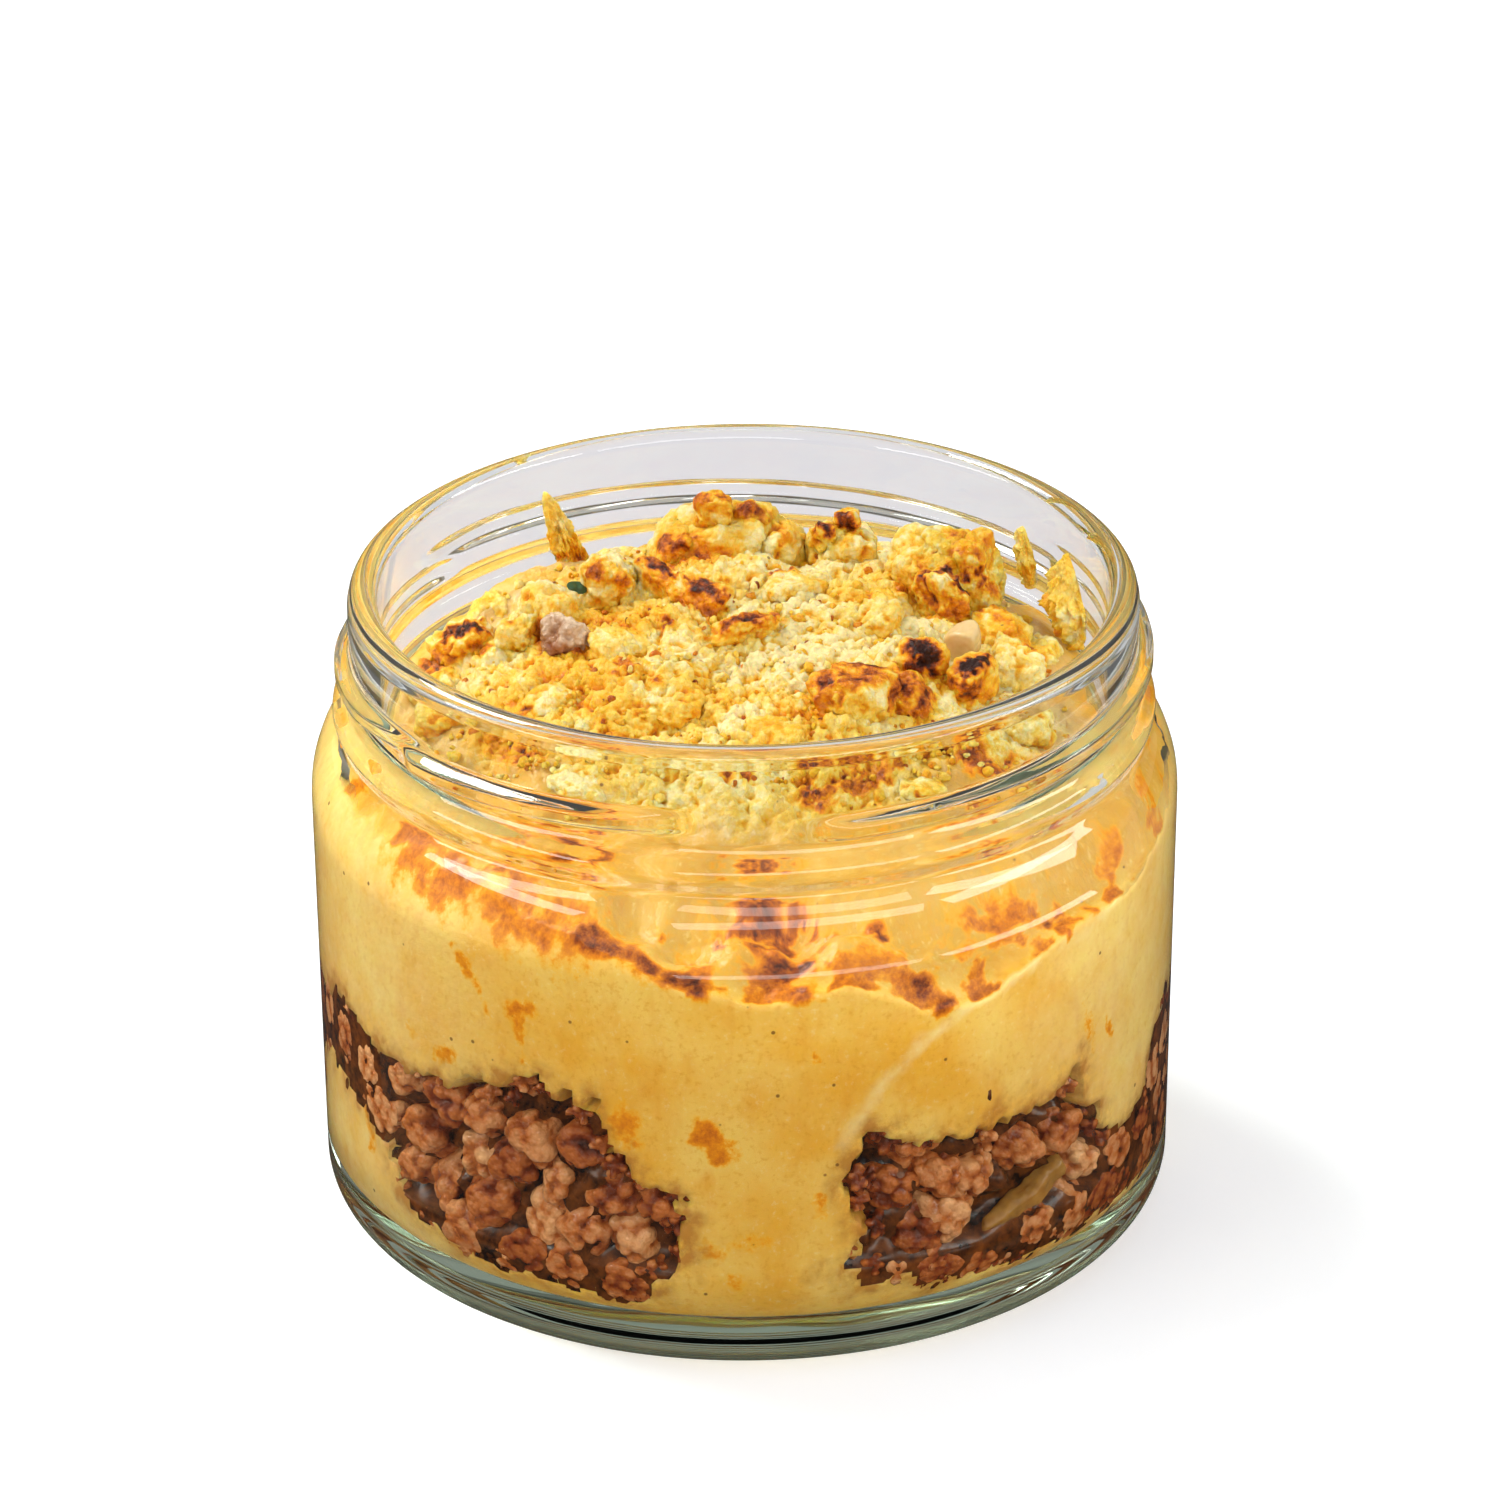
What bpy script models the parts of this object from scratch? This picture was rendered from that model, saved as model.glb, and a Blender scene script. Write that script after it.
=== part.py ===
"""Shepherd's pie baked in a wide screw-neck glass jar.

A clear glass jar holds a layer of cooked mince with mashed potato over it, down a
notch at the front and in a thin bed under it. The mash rises in a craggy browned
dome inside the neck. Metres, +Z up, origin at the middle of the base on the table.
Azimuth 0 is the front, at -Y, and it grows towards +X.
"""

import math

import bmesh
import bpy
from mathutils import Euler, Vector

MM = 0.001
GAP = 0.3 * MM              # clearance kept between touching pieces

# Jar
BODY_RADIUS = 46.0 * MM
FOOT_RADIUS = 45.6 * MM     # the body narrows a little towards its heel
HEEL_ROUND = 4.5 * MM
SHOULDER_Z = 46.3 * MM      # where the straight body ends
SHOULDER_FALL = 7.8 * MM    # from there up to the waist under the bead
SHOULDER_SHARES = (0.35, 0.7, 1.0)
SHOULDER_POWER = 2.6        # how late the shoulder turns in
BEAD_RADIUS = 43.5 * MM     # transfer bead under the screw thread
BEAD_Z = 56.3 * MM
BEAD_HALF_HEIGHT = 1.0 * MM
WAIST_RADIUS = BEAD_RADIUS - 0.5 * MM
NECK_RADIUS = 41.5 * MM
NECK_LEVELS = (58.6 * MM, 60.0 * MM, 61.3 * MM, 62.6 * MM, 64.2 * MM)
HEIGHT = 70.0 * MM
LIP_TURNS = (0, 50, 90, 130, 180)     # degrees over the top of the lip
LIP_WALL = 3.1 * MM
BODY_WALL = 3.0 * MM
FLOOR_Z = 4.0 * MM
FLOOR_ROUND = 7.0 * MM      # inner radius between floor and wall
FLARE_DROP = 1.8 * MM       # the inside starts to draw in this far under the shoulder
FLARE_RISE = 9.5 * MM       # and reaches the neck this much higher
FLARE_STEPS = 4
HEEL_STEPS = 3
JAR_STEPS = 60

# Screw thread: start and end azimuth in degrees, start and end height
THREAD_LUGS = (
    (-130, -49, 60.2 * MM, 62.2 * MM),
    (-59, -5, 60.9 * MM, 62.1 * MM),
    (9, 126, 60.7 * MM, 62.9 * MM),
    (118, 243, 60.6 * MM, 62.8 * MM),
)
LUG_PROUD = 1.6 * MM
LUG_HALF_WIDTH = 1.5 * MM
LUG_RUN_IN = 8              # degrees over which a lug rises at its start
LUG_RUN_OUT = 20            # and sinks at its end

# Mash: a dome tilted up towards the back
DOME_EDGE_Z = 48.0 * MM
DOME_RISE = 13.5 * MM
DOME_TILT = 0.14            # rise for each metre towards +Y
DOME_POWER = 2.2
MASH_STEPS = 64
MASH_RINGS = 15             # rings across the crust
EDGE_POWER = 5              # how close to the glass the edge swells stay
EDGE_PASSES = 4             # rounds that settle where the crust meets the flare
WAIST_UNDER_EDGE = 1.5 * MM

# Swells of the mash's edge on the glass: azimuth, half width in degrees, height
EDGE_SWELLS = (
    (-34, 26, 5.5 * MM),
    (8, 10, 2.0 * MM),
    (48, 24, -4.0 * MM),
)

# Crags of the crust: x, y, half length, half width, turn in degrees, height
CRAGS = (
    (-2.0, 26.5, 8.5, 6.0, 5, 7.2),      # back peak
    (10.5, 25.0, 4.5, 4.0, 0, 4.6),      # small peak beside it
    (22.5, 18.0, 6.5, 6.0, -20, 5.2),    # right crag
    (-6.5, 10.5, 6.5, 3.0, -40, 3.0),    # charred ledge
    (0.5, 3.5, 5.0, 2.6, 25, 1.8),       # low ridge
    (-29.0, 9.0, 5.5, 4.0, 15, 3.6),     # left crag
    (-21.5, 9.5, 4.5, 4.5, 0, 4.4),      # crag behind the crumb
    (-14.0, 13.5, 4.0, 4.0, 0, 3.8),
    (10.5, -9.0, 5.5, 4.2, 20, 3.4),     # front crag
    (18.5, -2.0, 3.2, 3.0, 0, 2.4),
    (24.5, -3.0, 3.0, 2.4, 40, 2.0),
)
CRAG_POWER = 0.8            # under 1 gives the crags steep sides

# Mince layer
MINCE_BED_Z = 6.6 * MM      # its underside, on the thin bed of mash
MINCE_TOP_Z = 20.5 * MM
NOTCH_AZIMUTH = 3.0         # the mash runs down to the floor here
NOTCH_HALF_WIDTH = 12.0     # degrees
NOTCH_RADIUS = 24.0 * MM    # how near the notch comes to the middle
MINCE_STEPS = 48
MINCE_LEVELS = 4
MINCE_BELLY = 0.06          # how much the notch's back bulges at half height
MINCE_CROWN = 3.0 * MM      # how far its middle stands over MINCE_TOP_Z
CROWN_SHARE = 0.6           # of the radius, where the top turns level
FLANK_HALF = 0.9            # degrees to each side of a flank of the notch
FLANK_CLEAR = 2.5           # degrees round a flank without another profile
MINCE_SWELLS = (
    (-30, 36, 8.0 * MM),
    (22, 20, 4.5 * MM),
    (50, 14, 3.0 * MM),
    (74, 16, -5.0 * MM),
    (112, 30, 5.0 * MM),
    (-110, 20, 4.0 * MM),
    (-165, 25, 5.0 * MM),
)

# Smears of mash left on the neck's inner wall:
# name, azimuth in degrees, lowest and highest point, half width, thickness
SMEARS = (
    ("mash_smear_back_left", -150, 57.2 * MM, 65.0 * MM, 2.2 * MM, 1.6 * MM),
    ("mash_smear_back_right", 128, 58.4 * MM, 65.0 * MM, 1.9 * MM, 1.5 * MM),
    ("mash_smear_right", 113, 55.6 * MM, 65.2 * MM, 3.4 * MM, 3.0 * MM),
)

# Loose pieces half sunk in the crust: name, centre, half sizes, turn in degrees
CRUMBS = (
    ("mince_crumb_top", (-18.9, 3.4, 62.6), (2.6, 2.3, 2.5), 20),
    ("onion_piece_top", (23.2, 3.4, 60.6), (2.1, 1.8, 2.4), -25),
)
CRUMB_TILT = (0.2, 0.1)     # radians about X and Y
CRUMB_KNOB = 0.09           # how knobbly, as a share of its size
SMEAR_TAPER = 0.55          # how much of its width a dab loses to its top

# Cutters
CUT_GROW = 1.25 * GAP       # a little over the gap, because facets cut corners
CUT_PAST_WALL = 1.5 * MM    # clear of the mash where the mince meets the glass
CRUMB_CUT_GROW = 1.4 * GAP


def swell(azimuth, middle, half_width):
    """A smooth hump in azimuth, 1 at the middle and 0 past its half width."""
    away = (azimuth - middle + 180) % 360 - 180
    share = min(abs(away) / half_width, 1.0)
    return (1 - share * share) ** 2


def heel_arc(centre_r, centre_z, radius, steps):
    """Points of a quarter arc from straight down to straight out."""
    arc = []
    for i in range(steps + 1):
        turn = math.radians(-90 + 90 * i / steps)
        arc.append((centre_r + radius * math.cos(turn), centre_z + radius * math.sin(turn)))
    return arc


def cavity_profile():
    """The jar's inside from the middle of the floor up to the neck."""
    wall = BODY_RADIUS - BODY_WALL
    neck = NECK_RADIUS - LIP_WALL
    flare = SHOULDER_Z - FLARE_DROP
    points = [(0.0, FLOOR_Z)]
    foot = FOOT_RADIUS - BODY_WALL
    points += heel_arc(foot - FLOOR_ROUND, FLOOR_Z + FLOOR_ROUND, FLOOR_ROUND, HEEL_STEPS)
    for i in range(FLARE_STEPS + 1):
        share = i / FLARE_STEPS
        ease = share * share * (3 - 2 * share)
        points.append((wall + (neck - wall) * ease, flare + FLARE_RISE * share))
    return points


def cavity_radius(z):
    """The radius of the jar's inside at a height."""
    points = cavity_profile()
    for (r0, z0), (r1, z1) in zip(points, points[1:]):
        if z0 <= z <= z1 and z1 > z0:
            return r0 + (r1 - r0) * (z - z0) / (z1 - z0)
    return points[-1][0]


def thread_proud(azimuth, z):
    """How far the screw thread stands out of the neck here."""
    proud = 0.0
    for start, end, low, high in THREAD_LUGS:
        turn = (azimuth - start) % 360
        length = end - start
        if turn > length:
            continue
        middle = low + (high - low) * turn / length
        across = abs(z - middle) / LUG_HALF_WIDTH
        ends = min(turn / LUG_RUN_IN, (length - turn) / LUG_RUN_OUT, 1.0)
        if across < 1:
            proud = max(proud, LUG_PROUD * ends * (1 - across * across))
    return proud


def jar_meridian(azimuth):
    """Closed profile of the jar from the base's middle, outside and back inside."""
    outside = [(0.0, 0.0)]
    outside += heel_arc(FOOT_RADIUS - HEEL_ROUND, HEEL_ROUND, HEEL_ROUND, HEEL_STEPS)
    outside.append((BODY_RADIUS, SHOULDER_Z))
    for share in SHOULDER_SHARES:
        drop = (BODY_RADIUS - WAIST_RADIUS) * share ** SHOULDER_POWER
        outside.append((BODY_RADIUS - drop, SHOULDER_Z + SHOULDER_FALL * share))
    outside.append((BEAD_RADIUS, BEAD_Z - BEAD_HALF_HEIGHT))
    outside.append((BEAD_RADIUS, BEAD_Z + BEAD_HALF_HEIGHT))
    for z in NECK_LEVELS:
        outside.append((NECK_RADIUS + thread_proud(azimuth, z), z))
    lip_round = LIP_WALL / 2
    middle = NECK_RADIUS - lip_round
    lip = [(middle + lip_round * math.cos(math.radians(turn)),
            HEIGHT - lip_round + lip_round * math.sin(math.radians(turn)))
           for turn in LIP_TURNS]
    return outside + lip + cavity_profile()[::-1]


def crag_height(x, y):
    """How far the crags lift the crust at a point."""
    lift = 0.0
    for cx, cy, half_length, half_width, turn, height in CRAGS:
        dx, dy = x / MM - cx, y / MM - cy
        c, s = math.cos(math.radians(turn)), math.sin(math.radians(turn))
        along = (dx * c + dy * s) / half_length
        across = (dy * c - dx * s) / half_width
        near = along * along + across * across
        if near < 1:
            lift = max(lift, height * MM * (1 - near) ** CRAG_POWER)
    return lift


def crust_height(radius, azimuth):
    """Height of the mash's top, with its edge swells and crags."""
    a = math.radians(azimuth)
    x, y = radius * math.sin(a), -radius * math.cos(a)
    share = radius / (BODY_RADIUS - BODY_WALL)
    z = DOME_EDGE_Z + DOME_RISE * (1 - share ** DOME_POWER) + DOME_TILT * y
    edge = sum(height * swell(azimuth, middle, half) for middle, half, height in EDGE_SWELLS)
    return z + edge * share ** EDGE_POWER + crag_height(x, y)


def mash_meridian(azimuth):
    """The mash from the middle of the floor, up the wall and over the crust."""
    edge_z = crust_height(BODY_RADIUS - BODY_WALL, azimuth)
    for _ in range(EDGE_PASSES):
        edge_z = crust_height(cavity_radius(edge_z) - GAP, azimuth)
    low = FLOOR_Z + GAP
    foot = FOOT_RADIUS - BODY_WALL
    points = [(0.0, low)]
    round_in = FLOOR_ROUND - GAP
    points += heel_arc(foot - FLOOR_ROUND, FLOOR_Z + FLOOR_ROUND, round_in, HEEL_STEPS)
    start = FLOOR_Z + FLOOR_ROUND
    waist = min(SHOULDER_Z - FLARE_DROP, edge_z - WAIST_UNDER_EDGE)
    points.append((cavity_radius((start + waist) / 2) - GAP, (start + waist) / 2))
    for i in range(FLARE_STEPS + 1):
        z = waist + (edge_z - waist) * i / FLARE_STEPS
        points.append((cavity_radius(z) - GAP, z))
    rim = points[-1][0]
    for i in range(1, MASH_RINGS + 1):
        radius = rim * (1 - i / MASH_RINGS)
        points.append((radius, crust_height(radius, azimuth)))
    return points


def mince_meridian(azimuth):
    """The mince layer, drawn in from the glass where the mash runs down."""
    top = MINCE_TOP_Z + sum(h * swell(azimuth, m, w) for m, w, h in MINCE_SWELLS)
    away = abs((azimuth - NOTCH_AZIMUTH + 180) % 360 - 180)
    in_notch = away < NOTCH_HALF_WIDTH
    points = [(0.0, MINCE_BED_Z)]
    for i in range(MINCE_LEVELS + 1):
        share = i / MINCE_LEVELS
        z = MINCE_BED_Z + (top - MINCE_BED_Z) * share
        wall = cavity_radius(z) - GAP
        belly = 1 + MINCE_BELLY * math.sin(math.pi * share)
        points.append((NOTCH_RADIUS * belly if in_notch else wall, z))
    crown = MINCE_TOP_Z + MINCE_CROWN
    points.append((points[-1][0] * CROWN_SHARE, (top + crown) / 2))
    points.append((0.0, crown))
    return points


def revolve(name, azimuths, meridian):
    """A closed solid from one profile for each azimuth, both ends on the axis."""
    mesh = bmesh.new()
    rows = [meridian(azimuth) for azimuth in azimuths]
    first = mesh.verts.new((0, 0, rows[0][0][1]))
    last = mesh.verts.new((0, 0, rows[0][-1][1]))
    grid = []
    for azimuth, row in zip(azimuths, rows):
        a = math.radians(azimuth)
        ring = [mesh.verts.new((r * math.sin(a), -r * math.cos(a), z)) for r, z in row[1:-1]]
        grid.append(ring)
    for i, ring in enumerate(grid):
        after = grid[(i + 1) % len(grid)]
        mesh.faces.new((first, after[0], ring[0]))
        mesh.faces.new((last, ring[-1], after[-1]))
        for k in range(len(ring) - 1):
            mesh.faces.new((ring[k], after[k], after[k + 1], ring[k + 1]))
    bmesh.ops.triangulate(mesh, faces=mesh.faces[:])
    return finish(name, mesh)


def finish(name, mesh):
    """Turns a bmesh, its faces outwards, into a smooth-shaded object of the scene."""
    if mesh.calc_volume(signed=True) < 0:
        bmesh.ops.reverse_faces(mesh, faces=mesh.faces[:])
    data = bpy.data.meshes.new(name)
    mesh.to_mesh(data)
    mesh.free()
    data.shade_smooth()
    data.set_sharp_from_angle(angle=math.radians(40))
    thing = bpy.data.objects.new(name, data)
    bpy.context.collection.objects.link(thing)
    return thing


def even_azimuths(steps):
    return [360 * i / steps for i in range(steps)]


def mince_azimuths():
    """Even steps, with a close pair at each flank of the notch."""
    flanks = []
    for side in (-1, 1):
        edge = NOTCH_AZIMUTH + side * NOTCH_HALF_WIDTH
        flanks += [edge - FLANK_HALF, edge + FLANK_HALF]
    kept = [a for a in even_azimuths(MINCE_STEPS)
            if all(abs((a - f + 180) % 360 - 180) > FLANK_CLEAR for f in flanks)]
    return sorted(kept + [f % 360 for f in flanks])


def make_smear(name, azimuth, low, high, half_width, thickness):
    """A tapering dab with its flat back on the neck's inner wall."""
    mesh = bmesh.new()
    bmesh.ops.create_uvsphere(mesh, u_segments=10, v_segments=8, radius=1)
    for vert in mesh.verts:
        across, depth, up = vert.co
        z = low + (high - low) * (up + 1) / 2
        taper = 1 - SMEAR_TAPER * (up + 1) / 2
        radius = cavity_radius(z) - GAP - thickness * taper * max(-depth, 0.0)
        a = math.radians(azimuth) + across * half_width * taper / NECK_RADIUS
        vert.co = (radius * math.sin(a), -radius * math.cos(a), z)
    bmesh.ops.triangulate(mesh, faces=mesh.faces[:])
    return finish(name, mesh)


def make_crumb(name, centre, half_sizes, turn, grow=0.0):
    """A knobbly lump, or its cutter when it is grown by the gap."""
    mesh = bmesh.new()
    bmesh.ops.create_icosphere(mesh, subdivisions=2, radius=1)
    spin = Euler((*CRUMB_TILT, math.radians(turn))).to_matrix()
    for vert in mesh.verts:
        x, y, z = vert.co
        knob = 1 + CRUMB_KNOB * math.sin(5 * x + 2) * math.sin(4 * y + 1) * math.cos(4 * z)
        size = Vector([half * MM + grow for half in half_sizes])
        vert.co = spin @ Vector((x * size.x, y * size.y, z * size.z)) * knob
        vert.co += Vector(centre) * MM
    bmesh.ops.triangulate(mesh, faces=mesh.faces[:])
    return finish(name, mesh)


def grown_cutter(source):
    """A cutter a gap larger than the mince, and past the mash where it meets glass."""
    mesh = bmesh.new()
    mesh.from_mesh(source.data)
    moves = [vert.normal * CUT_GROW for vert in mesh.verts]
    for vert, move in zip(mesh.verts, moves):
        radius = math.hypot(vert.co.x, vert.co.y)
        at_wall = radius > cavity_radius(vert.co.z) - 2 * GAP
        vert.co += move
        if at_wall:
            vert.co.xy *= (radius + CUT_PAST_WALL) / radius
    return finish(source.name + "_cutter", mesh)


def cut(target, cutter):
    """Takes the cutter out of the target, and hides the cutter."""
    boolean = target.modifiers.new("cut_" + cutter.name, "BOOLEAN")
    boolean.operation = "DIFFERENCE"
    boolean.solver = "EXACT"
    boolean.object = cutter
    cutter.hide_render = True
    cutter.display_type = "WIRE"


def material(name, colour, roughness, transmission=0.0):
    """A Principled material, its colour in linear values."""
    made = bpy.data.materials.new(name)
    made.use_nodes = True
    shader = made.node_tree.nodes["Principled BSDF"]
    shader.inputs["Base Color"].default_value = (*colour, 1)
    shader.inputs["Roughness"].default_value = roughness
    shader.inputs["Metallic"].default_value = 0.0
    shader.inputs["Transmission Weight"].default_value = transmission
    return made


def main():
    for thing in list(bpy.data.objects):
        bpy.data.objects.remove(thing)

    glass = material("clear_glass", (0.90, 0.96, 0.92), 0.02, 1.0)
    potato = material("mashed_potato", (0.80, 0.52, 0.16), 0.45)
    meat = material("cooked_mince", (0.20, 0.075, 0.03), 0.35)
    onion = material("soft_onion", (0.75, 0.55, 0.28), 0.25)

    jar = revolve("jar", even_azimuths(JAR_STEPS), jar_meridian)
    jar.data.materials.append(glass)

    mince = revolve("mince", mince_azimuths(), mince_meridian)
    mince.data.materials.append(meat)

    mash = revolve("mash", even_azimuths(MASH_STEPS), mash_meridian)
    mash.data.materials.append(potato)
    cut(mash, grown_cutter(mince))

    for name, centre, half_sizes, turn in CRUMBS:
        crumb = make_crumb(name, centre, half_sizes, turn)
        crumb.data.materials.append(meat if name.startswith("mince") else onion)
        cut(mash, make_crumb(name + "_cutter", centre, half_sizes, turn, CRUMB_CUT_GROW))

    for name, azimuth, low, high, half_width, thickness in SMEARS:
        smear = make_smear(name, azimuth, low, high, half_width, thickness)
        smear.data.materials.append(potato)


main()
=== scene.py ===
import math

import bmesh
import bpy
import numpy as np
from mathutils import Euler, Matrix, Vector


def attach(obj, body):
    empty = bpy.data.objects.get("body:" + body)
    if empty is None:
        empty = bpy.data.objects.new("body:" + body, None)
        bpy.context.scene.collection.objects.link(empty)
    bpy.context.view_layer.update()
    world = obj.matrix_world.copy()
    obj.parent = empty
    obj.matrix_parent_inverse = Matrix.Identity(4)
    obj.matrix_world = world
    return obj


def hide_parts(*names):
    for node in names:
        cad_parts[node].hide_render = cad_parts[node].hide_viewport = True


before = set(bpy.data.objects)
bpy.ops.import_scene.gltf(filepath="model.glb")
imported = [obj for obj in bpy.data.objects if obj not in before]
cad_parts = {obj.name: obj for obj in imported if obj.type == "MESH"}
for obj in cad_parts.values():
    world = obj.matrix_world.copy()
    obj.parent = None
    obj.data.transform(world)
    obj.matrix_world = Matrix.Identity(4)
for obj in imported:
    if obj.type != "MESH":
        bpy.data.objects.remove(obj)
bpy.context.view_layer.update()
print("frame loaded:", sorted(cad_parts))

mm = 0.001

# Azimuth is 0 at the front, -Y, and grows towards +X. Lengths in the dictionaries are in mm.


def hexColour(code, alpha=1.0):
    # sRGB hex to the linear values that the sockets take
    channels = [int(code[i:i + 2], 16) / 255 for i in (0, 2, 4)]
    linear = [c / 12.92 if c <= 0.04045 else ((c + 0.055) / 1.055) ** 2.4 for c in channels]
    return (*linear, alpha)


def addNode(tree, kind, inputs=None, **settings):
    # an input that is a socket gets linked, anything else is set on the node's own socket
    node = tree.nodes.new(kind)
    for key, value in settings.items():
        setattr(node, key, value)
    for key, value in (inputs or {}).items():
        if isinstance(value, bpy.types.NodeSocket):
            tree.links.new(value, node.inputs[key])
        else:
            node.inputs[key].default_value = value
    return node


def perSize(sizeMm):
    # noise scale for features about this many mm across
    return 1000.0 / sizeMm


def emptyMaterial(name):
    made = bpy.data.materials.new(name)
    made.use_nodes = True
    made.node_tree.nodes.clear()
    return made, made.node_tree


def fillRamp(ramp, stops):
    # stops as place and colour; the first and last are the ends of the ramp
    for place, colour in stops[1:-1]:
        ramp.elements.new(place).color = colour
    ramp.elements[0].color = stops[0][1]
    ramp.elements[-1].color = stops[-1][1]


def makeObject(name, shape, nodes=(), materials=()):
    # a finished bmesh as a smooth piece that rides on the body
    mesh = bpy.data.meshes.new(name)
    shape.to_mesh(mesh)
    shape.free()
    mesh.shade_smooth()
    for material in materials:
        mesh.materials.append(material)
    piece = bpy.data.objects.new(name, mesh)
    bpy.context.collection.objects.link(piece)
    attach(piece, "root")
    for node in nodes:
        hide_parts(node)
    return piece


def setAttribute(piece, name, values):
    layer = piece.data.attributes.new(name, "FLOAT", "POINT")
    layer.data.foreach_set("value", np.asarray(values, dtype=np.float32))


def smoothStep(low, high, x):
    share = np.clip((np.asarray(x, dtype=float) - low) / (high - low), 0, 1)
    return share * share * (3 - 2 * share)


def swell(azimuth, middle, halfWidth):
    # a smooth hump in azimuth, 1 at the middle and 0 past its half width
    away = (np.asarray(azimuth) - middle + 180) % 360 - 180
    share = np.minimum(np.abs(away) / halfWidth, 1.0)
    return (1 - share * share) ** 2


def cellValue(cells, seed):
    # a repeatable value from 0 to 1 for each whole-number cell
    x, y, z = (cells[..., i].astype(np.int64) for i in range(3))
    mixed = (x * 374761393 + y * 668265263 + z * 2246822519 + seed * 3266489917) & 0xffffffff
    mixed = ((mixed ^ (mixed >> 13)) * 1274126177) & 0xffffffff
    return ((mixed ^ (mixed >> 16)) & 0xffffff) / 0xffffff


def noiseAt(points, sizeMm, seed=0, octaves=1):
    # smooth gradient noise, about -1 to 1, one value for each row of points in mm
    total = np.zeros(len(points))
    strength = 1.0
    for octave in range(octaves):
        at = points / sizeMm * 2 ** octave + seed * 17.31
        low = np.floor(at)
        part = at - low
        ease = part ** 3 * (part * (part * 6 - 15) + 10)
        for corner in np.ndindex(2, 2, 2):
            gap = part - corner
            slope = sum((cellValue(low + corner, 3 * seed + i) * 2 - 1) * gap[:, i] for i in range(3))
            weight = np.prod(np.where(corner, ease, 1 - ease), axis=1)
            total += strength * 1.7 * slope * weight
        strength *= 0.55
    return total


def crumbsAt(points, sizeMm, seed=0):
    # rounded grains: 1 at each grain's middle, falling to 0 between grains
    at = points / sizeMm
    low = np.floor(at)
    nearest = np.full(len(points), 9.0)
    for step in np.ndindex(3, 3, 3):
        cell = low + np.array(step) - 1
        middle = cell + np.stack([cellValue(cell, seed * 5 + i) for i in range(3)], axis=1)
        nearest = np.minimum(nearest, ((at - middle) ** 2).sum(axis=1))
    return np.clip(1 - nearest * 1.3, 0, 1)


def drum(segments, rings):
    # a grid rolled into a closed drum of radius 1; heights are ring numbers, 0 and the last are poles
    shape = bmesh.new()
    bmesh.ops.create_grid(shape, x_segments=segments, y_segments=rings, size=0.5)
    seam = []
    for vert in shape.verts:
        turn = 2 * math.pi * (vert.co.x + 0.5)
        ring = round((vert.co.y + 0.5) * rings)
        pole = ring in (0, rings)
        if pole or abs(vert.co.x) > 0.4999:
            seam.append(vert)
        reach = 0 if pole else 1
        vert.co = (reach * math.sin(turn), -reach * math.cos(turn), ring)
    bmesh.ops.remove_doubles(shape, verts=seam, dist=1e-4)
    bmesh.ops.dissolve_degenerate(shape, edges=shape.edges[:], dist=1e-7)
    return shape


def drumPlaces(shape):
    # ring number and azimuth in degrees of each of its vertices
    co = np.array([v.co for v in shape.verts])
    return np.rint(co[:, 2]).astype(int), np.degrees(np.arctan2(co[:, 0], -co[:, 1]))


def placesOf(shape):
    return np.array([v.co for v in shape.verts])


def ball(subdivisions):
    # a ball of radius 1 and the places of its vertices
    shape = bmesh.new()
    bmesh.ops.create_icosphere(shape, subdivisions=subdivisions, radius=1)
    return shape, placesOf(shape)


def turned(points, angles):
    return points @ np.array(Euler(angles).to_matrix()).T


def joinInto(shape, part):
    # adds one finished bmesh to another and frees it; its vertices come last, in their order
    mesh = bpy.data.meshes.new("part")
    part.to_mesh(mesh)
    part.free()
    shape.from_mesh(mesh)
    bpy.data.meshes.remove(mesh)


def placeVerts(shape, pointsMm):
    for vert, point in zip(shape.verts, pointsMm):
        vert.co = Vector(point) * mm
    shape.normal_update()


def polar(radius, azimuth):
    a = np.radians(azimuth)
    return radius * np.sin(a), -radius * np.cos(a)


jarSet = {
    "height": 70.0, "lipOuter": 41.5, "lipInner": 38.4,
    "bodyRadius": 46.0, "footRadius": 45.6, "heelRound": 4.5, "baseRing": 39.0, "pushUp": 0.9,
    "shoulderZ": 46.3, "floorZ": 4.0, "floorCrown": 0.3, "floorRound": 7.0, "wall": 3.0,
    "flareDrop": 1.8, "flareRise": 9.5,
    # radius and height of points down its shoulder, with the bead under the thread
    "shoulder": ((46.0, 46.3), (45.95, 47.6), (45.75, 49.1), (45.35, 50.5), (44.8, 51.9), (44.0, 53.2),
                 (43.2, 54.1), (42.85, 54.7), (43.15, 55.4), (43.5, 56.4), (43.1, 57.5), (42.2, 58.4),
                 (41.7, 59.2)),
    "neck": (41.6, 59.5, 68.2), "neckStep": 0.28,     # radius, from and up to these heights
    "segments": 300,
}
floorEdge = jarSet["footRadius"] - jarSet["wall"] - jarSet["floorRound"]
wallRadius = jarSet["bodyRadius"] - jarSet["wall"]
# screw-thread lugs: start and end azimuth, start and end height
lugs = ((-130, -49, 60.2, 62.3), (-59, -5, 61.0, 62.1), (9, 126, 60.9, 63.0), (118, 243, 60.7, 62.8))
lugSet = {"proud": 1.55, "halfWidth": 1.45, "soften": 0.9}


def arcPoints(centreR, centreZ, radius, start, end, steps):
    turns = np.radians(np.linspace(start, end, steps + 1))
    return [(centreR + radius * math.cos(t), centreZ + radius * math.sin(t)) for t in turns]


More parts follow.
